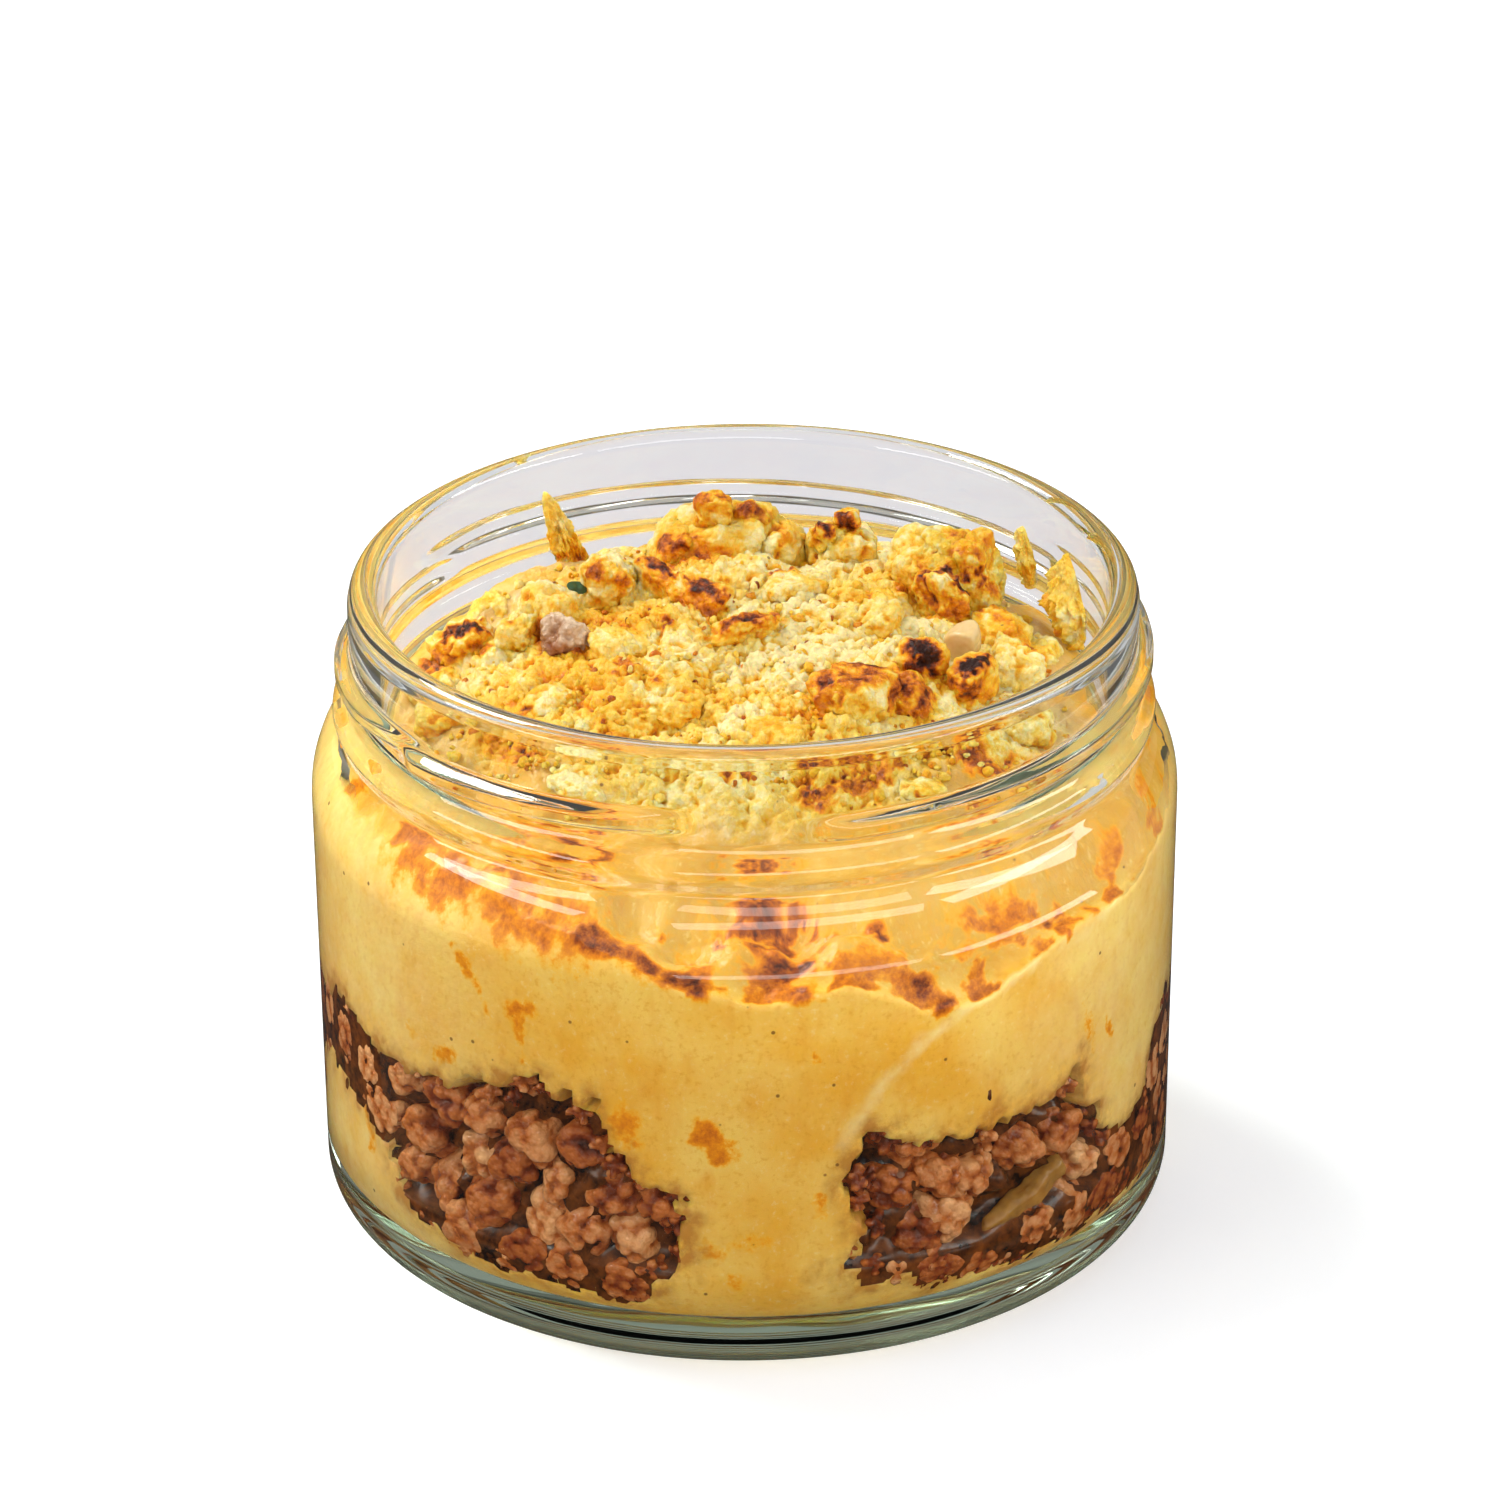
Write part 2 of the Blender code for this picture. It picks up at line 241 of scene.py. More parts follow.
def smoothLine(points, step):
    # a Catmull-Rom curve through the points, about one step apart
    pts = [np.array(p, dtype=float) for p in points]
    pts = [2 * pts[0] - pts[1]] + pts + [2 * pts[-1] - pts[-2]]
    line = []
    for a, b, c, d in zip(pts, pts[1:], pts[2:], pts[3:]):
        count = max(1, round(float(np.linalg.norm(c - b)) / step))
        for i in range(count):
            t = i / count
            line.append(tuple(0.5 * (2 * b + (c - a) * t + (2 * a - 5 * b + 4 * c - d) * t * t
                                     + (3 * b - a - 3 * c + d) * t ** 3)))
    line.append(tuple(pts[-2]))
    return line


def floorHeight(r):
    # the jar's floor inside, a little crowned
    return jarSet["floorZ"] + jarSet["floorCrown"] * np.cos(r / floorEdge * math.pi / 2)


def innerProfile():
    # the jar's inside from the middle of the floor up to the neck
    s = jarSet
    neck = s["lipInner"]
    flare = s["shoulderZ"] - s["flareDrop"]
    line = [(r, float(floorHeight(r))) for r in np.linspace(0, floorEdge, 8)[:-1]]
    line += arcPoints(floorEdge, s["floorZ"] + s["floorRound"], s["floorRound"], -90, 0, 12)
    for share in np.linspace(0, 1, 19):
        ease = share * share * (3 - 2 * share)
        line.append((wallRadius + (neck - wallRadius) * ease, flare + s["flareRise"] * share))
    return line


innerLine = innerProfile()


def innerRadius(z):
    # radius of the jar's inside at a height in mm
    heights = [p[1] for p in innerLine if p[0] > 30]
    radii = [p[0] for p in innerLine if p[0] > 30]
    return np.interp(z, heights, radii)


def outerProfile():
    s = jarSet
    lipMiddle = (s["lipOuter"] + s["lipInner"]) / 2
    lipRound = (s["lipOuter"] - s["lipInner"]) / 2
    line = [(r, s["pushUp"]) for r in (0, 12, 24, 33)]
    line += [(35.5, s["pushUp"] * 0.8), (37.0, 0.25), (s["baseRing"], 0.0), (40.6, 0.02)]
    heel = arcPoints(s["footRadius"] - s["heelRound"], s["heelRound"], s["heelRound"], -86, 0, 12)
    side = [(s["footRadius"] + (s["bodyRadius"] - s["footRadius"]) * i / 10,
             s["heelRound"] + (s["shoulderZ"] - s["heelRound"]) * i / 10) for i in range(1, 11)]
    shoulder = smoothLine(s["shoulder"], 0.35)
    neckRadius, low, high = s["neck"]
    neck = [(neckRadius, z) for z in np.arange(low, high, s["neckStep"])]
    lip = arcPoints(lipMiddle, s["height"] - lipRound, lipRound, 0, 180, 16)
    return line + heel + side[:-1] + shoulder + neck + lip


def lugProud(azimuth, z):
    # how far the lugs stand out of the neck, in mm
    proud = np.zeros_like(z)
    for start, end, low, high in lugs:
        turn = (azimuth - start) % 360
        length = end - start
        middle = low + (high - low) * turn / length
        ends = np.minimum(smoothStep(0, 7, turn), smoothStep(0, 22, length - turn))
        across = 1 - smoothStep(lugSet["halfWidth"] - lugSet["soften"], lugSet["halfWidth"],
                                np.abs(z - middle))
        proud = np.maximum(proud, np.where(turn <= length, lugSet["proud"] * ends * across, 0))
    return proud


def buildJar(material):
    # the neck's inside runs from below the lip down to the flare
    neck = [(jarSet["lipInner"], z) for z in np.arange(67.6, 55, -1.4)]
    line = outerProfile() + neck + innerLine[::-1]
    shape = bmesh.new()
    verts = [shape.verts.new((0, -r * mm, z * mm)) for r, z in line]
    edges = [shape.edges.new(pair) for pair in zip(verts, verts[1:])]
    bmesh.ops.spin(shape, geom=verts + edges, cent=(0, 0, 0), axis=(0, 0, 1), angle=2 * math.pi,
                   steps=jarSet["segments"], use_merge=True)
    bmesh.ops.remove_doubles(shape, verts=shape.verts[:], dist=1e-6)
    bmesh.ops.recalc_face_normals(shape, faces=shape.faces[:])
    co = np.array([v.co for v in shape.verts]) / mm
    radius = np.hypot(co[:, 0], co[:, 1])
    azimuth = np.degrees(np.arctan2(co[:, 0], -co[:, 1]))
    onNeck = (radius > 40.5) & (co[:, 2] > 58) & (co[:, 2] < 67)
    proud = np.where(onNeck, lugProud(azimuth, co[:, 2]), 0)
    x, y = polar(radius + proud, azimuth)
    placeVerts(shape, np.stack([x, y, co[:, 2]], axis=1))
    return makeObject("glassJar", shape, ("jar",), (material,))


def glassMaterial():
    # soda-lime glass, pressed and fire polished: clear, green in thick edges, slightly wavy
    made, tree = emptyMaterial("sodaLimeGlass")
    coords = addNode(tree, "ShaderNodeTexCoord").outputs["Object"]
    waves = addNode(tree, "ShaderNodeTexNoise", {"Vector": coords, "Scale": perSize(14), "Detail": 1.0})
    bump = addNode(tree, "ShaderNodeBump", {"Height": waves.outputs["Fac"], "Strength": 0.25,
                                            "Distance": 0.25 * mm})
    glass = addNode(tree, "ShaderNodeBsdfPrincipled",
                    {"Base Color": hexColour("fcfefc"), "Roughness": 0.01, "IOR": 1.5,
                     "Transmission Weight": 1.0, "Normal": bump.outputs["Normal"]})
    # its shadow is light, as the real one is
    clear = addNode(tree, "ShaderNodeBsdfTransparent", {"Color": hexColour("f4f8f4")})
    path = addNode(tree, "ShaderNodeLightPath")
    mix = addNode(tree, "ShaderNodeMixShader",
                  {0: path.outputs["Is Shadow Ray"], 1: glass.outputs["BSDF"], 2: clear.outputs["BSDF"]})
    depth = addNode(tree, "ShaderNodeVolumeAbsorption", {"Color": hexColour("b4ccb0"), "Density": 14.0})
    addNode(tree, "ShaderNodeOutputMaterial",
            {"Surface": mix.outputs["Shader"], "Volume": depth.outputs["Volume"]})
    return made


mashSet = {
    "intoWall": 0.12,           # how far it reaches into the glass, so that no air shows
    "floorGap": 0.12,           # it has come off the jar's floor, whose glass mirrors the light
    "edgeZ": 48.0, "rise": 13.0, "tilt": 0.14, "power": 2.2,
    "segments": 440, "floorRings": 4, "heelRings": 14, "sideRings": 42, "crustRings": 156,
    "rimRound": 2.6,            # how far in from the glass the crust takes to rise free of it
    "shrunk": 2.8,              # on the sides it has shrunk this far from the shoulder of the jar
    "grainHeight": 1.2, "grainMiddle": 0.6,
    "rimBake": 0.42, "goldenLeft": 0.16, "goldenRim": 0.17, "paleSides": 0.6,
}

# where the mash leaves the glass: azimuth, height
contactLine = ((-180, 54.5), (-150, 53.5), (-120, 52.5), (-90, 52.5), (-70, 51.5), (-57, 50.5), (-37, 49.5),
               (-25, 48), (-16, 46.5), (-7, 44.5), (3, 42.5), (8, 44), (13, 44.5), (18, 42.5), (26, 40),
               (32, 39.5), (40, 41.5), (50, 43.5), (64, 46), (75, 49), (100, 52), (130, 53), (180, 54.5))

# torn lumps of the crust: x, y, top, half length, half width, half height, turn in degrees
lumps = (
    (-2.5, 26.0, 66.8, 7.6, 5.4, 6.6, 4), (-3.2, 25.4, 68.6, 2.3, 2.0, 2.6, 0),
    (0.8, 26.6, 67.0, 2.0, 2.0, 2.4, 0), (-7.0, 25.0, 65.2, 3.0, 3.4, 4.4, 0),
    (3.4, 25.6, 65.0, 3.4, 3.4, 4.6, 0),
    (10.8, 25.0, 64.2, 4.0, 3.6, 4.8, 0), (8.6, 24.2, 65.2, 1.3, 1.2, 1.4, 0),
    (11.2, 25.4, 66.2, 1.2, 1.2, 1.4, 0), (9.6, 24.8, 64.8, 1.6, 1.5, 1.6, 0),
    (19.6, 18.2, 66.8, 4.4, 4.6, 5.8, -30), (23.8, 17.4, 67.2, 4.0, 4.4, 6.0, 20),
    (21.4, 13.8, 64.4, 3.4, 3.2, 4.6, 0), (26.0, 19.0, 64.4, 2.4, 2.4, 3.0, 0),
    (-29.4, 8.8, 60.6, 3.8, 2.8, 3.2, 20), (-26.0, 6.6, 60.2, 2.6, 2.6, 3.0, 0),
    (-20.8, 9.6, 65.0, 3.7, 3.5, 5.0, 0), (-23.6, 7.6, 62.4, 2.8, 2.6, 3.4, 0),
    (-14.6, 13.6, 66.4, 3.3, 3.0, 4.6, 0), (-12.4, 15.6, 65.0, 2.4, 2.4, 3.0, 0),
    (-6.8, 11.0, 65.6, 6.8, 1.8, 2.8, -46), (0.4, 3.4, 64.2, 4.6, 1.9, 2.2, 27),
    (11.6, -8.4, 63.2, 5.2, 4.0, 4.2, 10), (16.8, -7.0, 61.6, 3.2, 2.8, 3.2, 0),
    (18.6, -1.2, 63.2, 2.5, 2.0, 2.8, 30), (24.4, -2.6, 62.1, 3.4, 1.6, 3.2, 52),
    (28.6, 3.0, 60.6, 3.2, 3.4, 3.2, 0), (27.6, 10.0, 61.2, 3.0, 3.0, 3.4, 0),
    (31.6, 9.6, 58.0, 3.0, 3.4, 3.0, 0), (29.0, -6.0, 58.4, 3.0, 3.2, 2.6, 0),
    (-33.0, 5.0, 57.4, 2.6, 3.2, 2.4, 0), (-31.4, -2.0, 57.8, 3.6, 3.6, 2.4, 0),
    (5.0, 14.0, 63.8, 3.8, 2.8, 2.0, 30), (14.0, 8.0, 63.2, 3.4, 2.8, 2.2, -20),
    (-12.0, 2.0, 62.8, 4.2, 3.2, 2.0, 15), (-20.0, -6.0, 60.0, 4.4, 3.6, 2.4, -20),
    (-8.0, -8.0, 61.2, 4.6, 3.6, 2.0, 10), (3.0, -14.0, 59.8, 3.6, 2.8, 2.0, 0),
    (-16.0, -18.0, 56.8, 4.0, 3.2, 2.2, 30), (18.0, -18.0, 56.4, 3.8, 3.4, 2.4, -30),
    (-14.0, 28.0, 60.4, 4.0, 3.6, 3.6, 30), (16.0, 30.0, 59.6, 4.0, 3.4, 3.4, -20),
    (0.0, 35.0, 58.8, 4.6, 3.0, 3.8, 0), (-27.0, 20.0, 58.4, 4.0, 3.6, 3.2, 40),
)
# the last value is painted shade on the lumps' steep and downward faces
lumpSet = {"facets": 13, "edgePower": 11, "torn": 0.12, "pitted": 0.1, "fineFrom": 2.5, "grain": 0.75,
           "steepShade": 0.16}

# browned and scorched strokes: start, end, reach and strength
scorches = (
    (-4.6, 25.2, 68.2, -2.0, 25.0, 68.8, 1.5, 0.62), (0.0, 26.0, 66.8, 1.6, 26.0, 67.0, 1.3, 0.6),
    (-8.6, 22.8, 63.6, -6.0, 22.4, 64.8, 1.7, 0.5), (-7.6, 20.6, 62.6, -4.4, 20.6, 62.8, 1.0, 0.62),
    (-2.0, 20.4, 62.8, -1.6, 20.4, 62.8, 0.9, 0.7), (4.6, 22.2, 64.4, 5.6, 22.6, 64.8, 1.0, 0.5),
    (8.0, 23.2, 65.6, 9.4, 22.6, 64.8, 1.1, 0.95), (11.2, 24.6, 66.6, 11.2, 24.4, 65.4, 1.3, 0.8),
    (19.4, 15.8, 67.6, 20.2, 15.4, 67.6, 1.1, 0.72), (22.0, 17.0, 68.0, 23.0, 16.6, 68.0, 1.0, 0.6),
    (21.2, 13.6, 66.8, 22.6, 12.6, 65.0, 1.1, 0.95), (22.6, 12.6, 65.0, 25.0, 12.4, 62.4, 1.3, 1.05),
    (25.4, 12.8, 63.6, 25.2, 11.8, 60.8, 1.5, 0.8), (18.6, 13.0, 64.8, 21.6, 12.6, 65.2, 1.0, 0.8),
    (20.0, 11.4, 62.6, 23.6, 11.2, 61.2, 2.0, 0.5), (16.6, 14.2, 63.8, 17.2, 13.4, 62.8, 0.8, 0.7),
    (-10.6, 14.6, 65.8, -6.6, 10.2, 66.0, 1.1, 0.86), (-6.6, 10.2, 66.0, -2.4, 6.2, 65.2, 1.0, 0.82),
    (-10.0, 13.0, 63.8, -3.0, 6.0, 63.4, 1.5, 0.44),
    (-3.2, 1.2, 63.8, 0.4, 2.6, 64.5, 1.0, 0.72), (0.4, 2.6, 64.5, 4.0, 4.2, 64.2, 1.1, 0.66),
    (-31.4, 7.6, 60.6, -27.2, 8.4, 61.0, 1.3, 1.0), (-33.2, 6.2, 57.8, -32.8, 5.0, 57.4, 1.5, 0.62),
    (-31.0, 6.0, 59.0, -28.0, 6.0, 59.4, 1.5, 0.45),
    (-16.8, 11.4, 66.4, -15.6, 11.2, 66.2, 1.2, 0.66), (-12.8, 10.6, 64.8, -12.2, 10.2, 64.4, 0.8, 0.72),
    (-20.4, 3.2, 61.0, -17.2, 3.0, 61.0, 1.2, 0.7), (-21.6, 6.4, 61.4, -21.2, 6.0, 60.4, 1.1, 0.55),
    (8.6, -9.6, 62.6, 12.6, -7.0, 63.6, 2.2, 0.6), (10.0, -10.6, 61.8, 13.6, -8.8, 62.8, 1.3, 0.6),
    (12.8, -7.0, 63.6, 14.4, -6.6, 63.2, 1.0, 0.8), (16.4, -8.6, 61.4, 18.6, -8.2, 60.8, 1.6, 0.6),
    (18.0, -1.4, 63.6, 19.0, -2.8, 62.6, 1.6, 0.95), (17.2, -3.4, 61.6, 17.8, -3.6, 61.0, 1.1, 0.7),
    (25.6, -1.4, 62.8, 23.0, -4.8, 60.8, 1.1, 1.0), (23.0, -4.8, 60.0, 23.6, -4.8, 58.8, 1.2, 0.66),
    (-12.8, -4.0, 62.4, -11.6, -4.6, 62.2, 1.1, 0.66), (-9.6, -7.0, 62.2, -9.2, -7.2, 62.2, 0.7, 0.72),
    (30.6, 5.8, 59.0, 31.2, 5.2, 58.6, 1.2, 0.6), (-2.0, 13.0, 63.8, -1.4, 12.8, 63.8, 0.6, 0.76),
    (3.2, 15.8, 64.0, 6.2, 15.6, 64.0, 0.7, 0.74), (1.6, 10.6, 63.6, 2.0, 10.4, 63.6, 0.5, 0.72),
    (-8.6, 3.6, 63.2, -8.0, 3.2, 63.2, 0.6, 0.7), (-6.0, -2.6, 62.4, -5.4, -3.0, 62.4, 0.6, 0.66),
    (-24.0, -9.6, 57.0, -22.6, -11.6, 56.0, 1.7, 0.82), (21.0, -13.0, 57.0, 26.0, -15.0, 55.0, 1.8, 0.74),
    (-1.6, -19.3, 57.6, -0.4, -19.6, 57.4, 1.0, 0.78), (6.6, -20.9, 56.6, 8.2, -21.2, 56.2, 1.2, 0.76),
    (-16.4, -30.3, 50.4, -15.2, -30.8, 50.0, 1.4, 0.72), (34.4, -25.0, 46.0, 34.6, -24.8, 45.4, 1.2, 0.62),
    (19.0, 15.0, 65.0, 24.0, 15.0, 66.0, 3.6, 0.26), (20.0, 14.0, 62.0, 25.0, 14.0, 61.0, 3.0, 0.3),
    (10.0, -27.0, 54.0, 18.0, -25.0, 54.0, 3.0, 0.34), (-22.0, -22.0, 53.6, -16.0, -26.0, 52.6, 3.0, 0.34),
)

# a stroke is whole up to the first share of its reach and gone at the second; strong ones have a halo
strokeSet = {"whole": 0.2, "gone": 1.5, "strong": 0.55, "halo": 0.36, "haloWhole": 0.6, "haloGone": 2.4}

# browning near the glass: azimuth and distance in from the glass of start and end, reach, strength
rimMarks = (
    (-68, 0, -52, 0, 1.4, 0.5), (-54, 4, -36, 1, 1.3, 0.6), (-54, 0.8, -39, 0.8, 3.2, 0.56),
    (-39, 0.8, -25, 0.8, 3.0, 0.56), (-23, 1.5, -14, 1.5, 1.6, 0.74), (-14, 1.5, -7, 0.5, 1.4, 0.8),
    (-12, 5, -12, 5, 0.9, 0.8), (0, 8, 9, 7, 2.6, 0.72), (0, 4.4, 7, 3.4, 2.3, 0.84), (4, 2, 8, 0, 1.4, 0.66),
    (20, 5.5, 21, 3, 1.3, 0.86), (21, 3, 27, 0.5, 1.3, 0.82), (34, 5, 44, 4, 1.9, 0.56),
    (35, 4, 38, 4, 0.8, 0.72), (47, 2, 51, 2, 0.8, 0.76), (48, 1, 48, 0, 0.6, 0.62),
    (-42, 12, -31, 15, 1.2, 0.66), (-31, 8, -24, 8, 1.3, 0.76), (-44, 8, -32, 8, 2.0, 0.52),
    (51, 13, 57, 12, 1.4, 0.74), (38, 10, 49, 9, 1.6, 0.55), (62, 11, 72, 9, 1.3, 0.55),
    (29, 21, 41, 21, 2.2, 0.55), (65, 18, 65, 14, 1.4, 0.76), (-73, 17, -60, 18, 1.6, 0.8),
)

# oil and browning on the side, at the glass: azimuth and height of start and end, reach, strength
sideMarks = (
    (-42, 44, -38, 40, 0.8, 0.5), (-38, 40, -36, 37, 0.6, 0.42), (-34, 39, -30, 39.5, 1.2, 0.5),
    (-32, 39, -31, 33, 0.8, 0.44), (-46, 30.5, -43, 31, 1.2, 0.42), (-6, 27.5, -3, 25.5, 1.7, 0.5),
    (-17, 29, -15, 26.5, 1.6, 0.44), (57, 31, 59, 28, 0.7, 0.5), (-4, 14.5, 2, 15.5, 1.8, 0.36),
    (-2, 10.5, -1, 9.5, 1.0, 0.42), (10, 20, 10, 18, 1.0, 0.42), (9, 37.5, 9.5, 36, 0.5, 0.5),
    (-52, 32, -49, 31, 1.0, 0.34), (52, 34, 54, 27.5, 1.0, 0.38), (-66, 22, -62, 14, 1.2, 0.36),
)

# pale folds where mash met mash as it was pressed down: azimuth and height along each
folds = (
    ((13, 26), (18, 32), (24, 36.5), (30, 39), (36, 40.2), (42, 41.8)),
    ((47, 42.2), (52, 42.6), (58, 43.5), (64, 45.4), (72, 48)),
)

# outlines of the mince where it shows at the glass: azimuth, height
pockets = (
    ((-96, 10), (-96, 20), (-88, 26), (-71, 28), (-55, 26), (-40, 28), (-30, 31), (-21, 29), (-15, 21),
     (-9, 19), (-9, 12), (-14, 7), (-44, 8), (-55, 11), (-58, 17), (-74, 20), (-84, 18), (-88, 10)),
    ((13, 11), (16, 16), (14, 21), (16, 27), (24, 25), (44, 24), (51, 27), (56, 18), (64, 14), (70, 18),
     (76, 24), (90, 25), (99, 17), (96, 9), (84, 6), (60, 6), (40, 7), (24, 8)),
    ((104, 12), (108, 22), (122, 26), (150, 27), (185, 26), (222, 27), (244, 23), (255, 14), (246, 8),
     (195, 7), (130, 7)),
)


def domeAt(x, y):
    # the dome without its lumps, brought to the contact line at the glass
    radius = np.hypot(x, y)
    azimuth = np.degrees(np.arctan2(x, -y))
    s = mashSet
    edgeY = polar(wallRadius, azimuth)[1]
    lift = np.interp(azimuth, *zip(*contactLine)) - (s["edgeZ"] + s["tilt"] * edgeY)
    share = np.minimum(radius / wallRadius, 1)
    return s["edgeZ"] + s["rise"] * (1 - share ** s["power"]) + s["tilt"] * y + lift * share ** 6


def crustSwells(x, y):
    flat = np.stack([x, y, np.zeros(len(x))], axis=1)
    ridged = 1 - 2 * np.abs(noiseAt(flat, 9.0, 5, 2))
    warped = flat + np.stack([1.2 * noiseAt(flat, 4.0, seed, 2) for seed in (64, 65, 66)], axis=1)
    return 1.3 * noiseAt(flat, 10.0, 3, 2) + 0.9 * ridged + 1.3 * (crumbsAt(warped, 6.2, 9) - 0.4)


def strokeGap(points, start, end):
    # distance of each point from a straight stroke
    start, end = np.array(start, dtype=float), np.array(end, dtype=float)
    along = end - start
    share = np.clip((points - start) @ along / max(float(along @ along), 1e-6), 0, 1)
    return np.linalg.norm(points - start - share[:, None] * along, axis=1)


def outlineDepth(azimuth, z, outline):
    # mm inside an outline on the glass, negative outside it
    middle = (min(p[0] for p in outline) + max(p[0] for p in outline)) / 2
    perDegree = math.radians(wallRadius)
    across = ((azimuth - middle + 180) % 360 - 180) * perDegree
    here = np.stack([across, z], axis=1)
    corners = [((a - middle) * perDegree, h) for a, h in outline]
    nearest = np.full(len(here), 99.0)
    inside = np.zeros(len(here), dtype=bool)
    for (x0, z0), (x1, z1) in zip(corners, corners[1:] + corners[:1]):
        nearest = np.minimum(nearest, strokeGap(here, (x0, z0), (x1, z1)))
        crosses = ((z0 > z) != (z1 > z)) & (across < (x1 - x0) * (z - z0) / (z1 - z0 + 1e-9) + x0)
        inside ^= crosses
    return np.where(inside, nearest, -nearest)


def pocketDepthAt(azimuth, z):
    return np.max([outlineDepth(azimuth, z, outline) for outline in pockets], axis=0)


def onGlass(azimuth, z):
    # the point of the jar's inside at this azimuth and height
    return (*polar(float(innerRadius(z)), azimuth), z)


def onDome(azimuth, inward):
    # the point of the crust at this azimuth and distance in from the glass
    x, y = polar(wallRadius - inward, azimuth)
    return x, y, float(domeAt(x, y))


def bakeMarks(points):
    # how browned each point is, from the nearest scorches; their edges are finely ragged in the open
    s = strokeSet
    value = np.zeros(len(points))
    fine = 0.7 * smoothStep(41, 34, np.hypot(points[:, 0], points[:, 1]))
    ragged = 0.75 * noiseAt(points, 2.6, 31, 2) + fine * noiseAt(points, 0.9, 32, 2)
    strokes = [(stroke[:3], stroke[3:6], *stroke[6:]) for stroke in scorches]
    strokes += [(onDome(*mark[:2]), onDome(*mark[2:4]), *mark[4:]) for mark in rimMarks]
    for start, end, reach, strength in strokes:
        gap = strokeGap(points, start, end) / reach
        value = np.maximum(value, strength * (1 - smoothStep(s["whole"], s["gone"], gap + ragged)))
        if strength > s["strong"]:
            halo = 1 - smoothStep(s["haloWhole"], s["haloGone"], gap + 1.4 * ragged)
            value = np.maximum(value, s["halo"] * halo)
    return value


def sideBake(points):
    value = bakeMarks(points)
    ragged = 0.8 * noiseAt(points, 2.6, 33, 2)
    for a0, z0, a1, z1, reach, strength in sideMarks:
        gap = strokeGap(points, onGlass(a0, z0), onGlass(a1, z1)) / reach
        value = np.maximum(value, strength * (1 - smoothStep(0.0, 2.0, gap + ragged)))
    return value


def foldsAt(points):
    # 1 along the pale folds, 0 past a millimetre
    nearest = np.full(len(points), 9.0)
    for fold in folds:
        for start, end in zip(fold, fold[1:]):
            nearest = np.minimum(nearest, strokeGap(points, onGlass(*start), onGlass(*end)))
    return 1 - smoothStep(0.1, 1.0, nearest + 0.4 * noiseAt(points, 2.5, 34, 2))


def grainAt(points):
    # the crumbly grain of the crust, 0 to about 1.6 mm, its crumbs made angular by a warp
    warp = 0.35 * np.stack([noiseAt(points, 1.6, seed, 2) for seed in (61, 62, 63)], axis=1)
    warped = points + warp
    return mashSet["grainHeight"] * (0.34 * crumbsAt(warped, 3.1, 1) + 0.56 * crumbsAt(warped, 1.7, 2)
                                     + 0.5 * crumbsAt(warped, 1.0, 3) + 0.4 * noiseAt(points, 0.9, 8, 2))


def setMashAttributes(piece, bakeAndShade, relief, free, stain, fold):
    # each a value for every vertex, or one for all
    values = {"bakeAndShade": bakeAndShade, "relief": relief, "free": free, "stain": stain, "fold": fold}
    for name, value in values.items():
        setAttribute(piece, name, value + np.zeros(len(piece.data.vertices)))


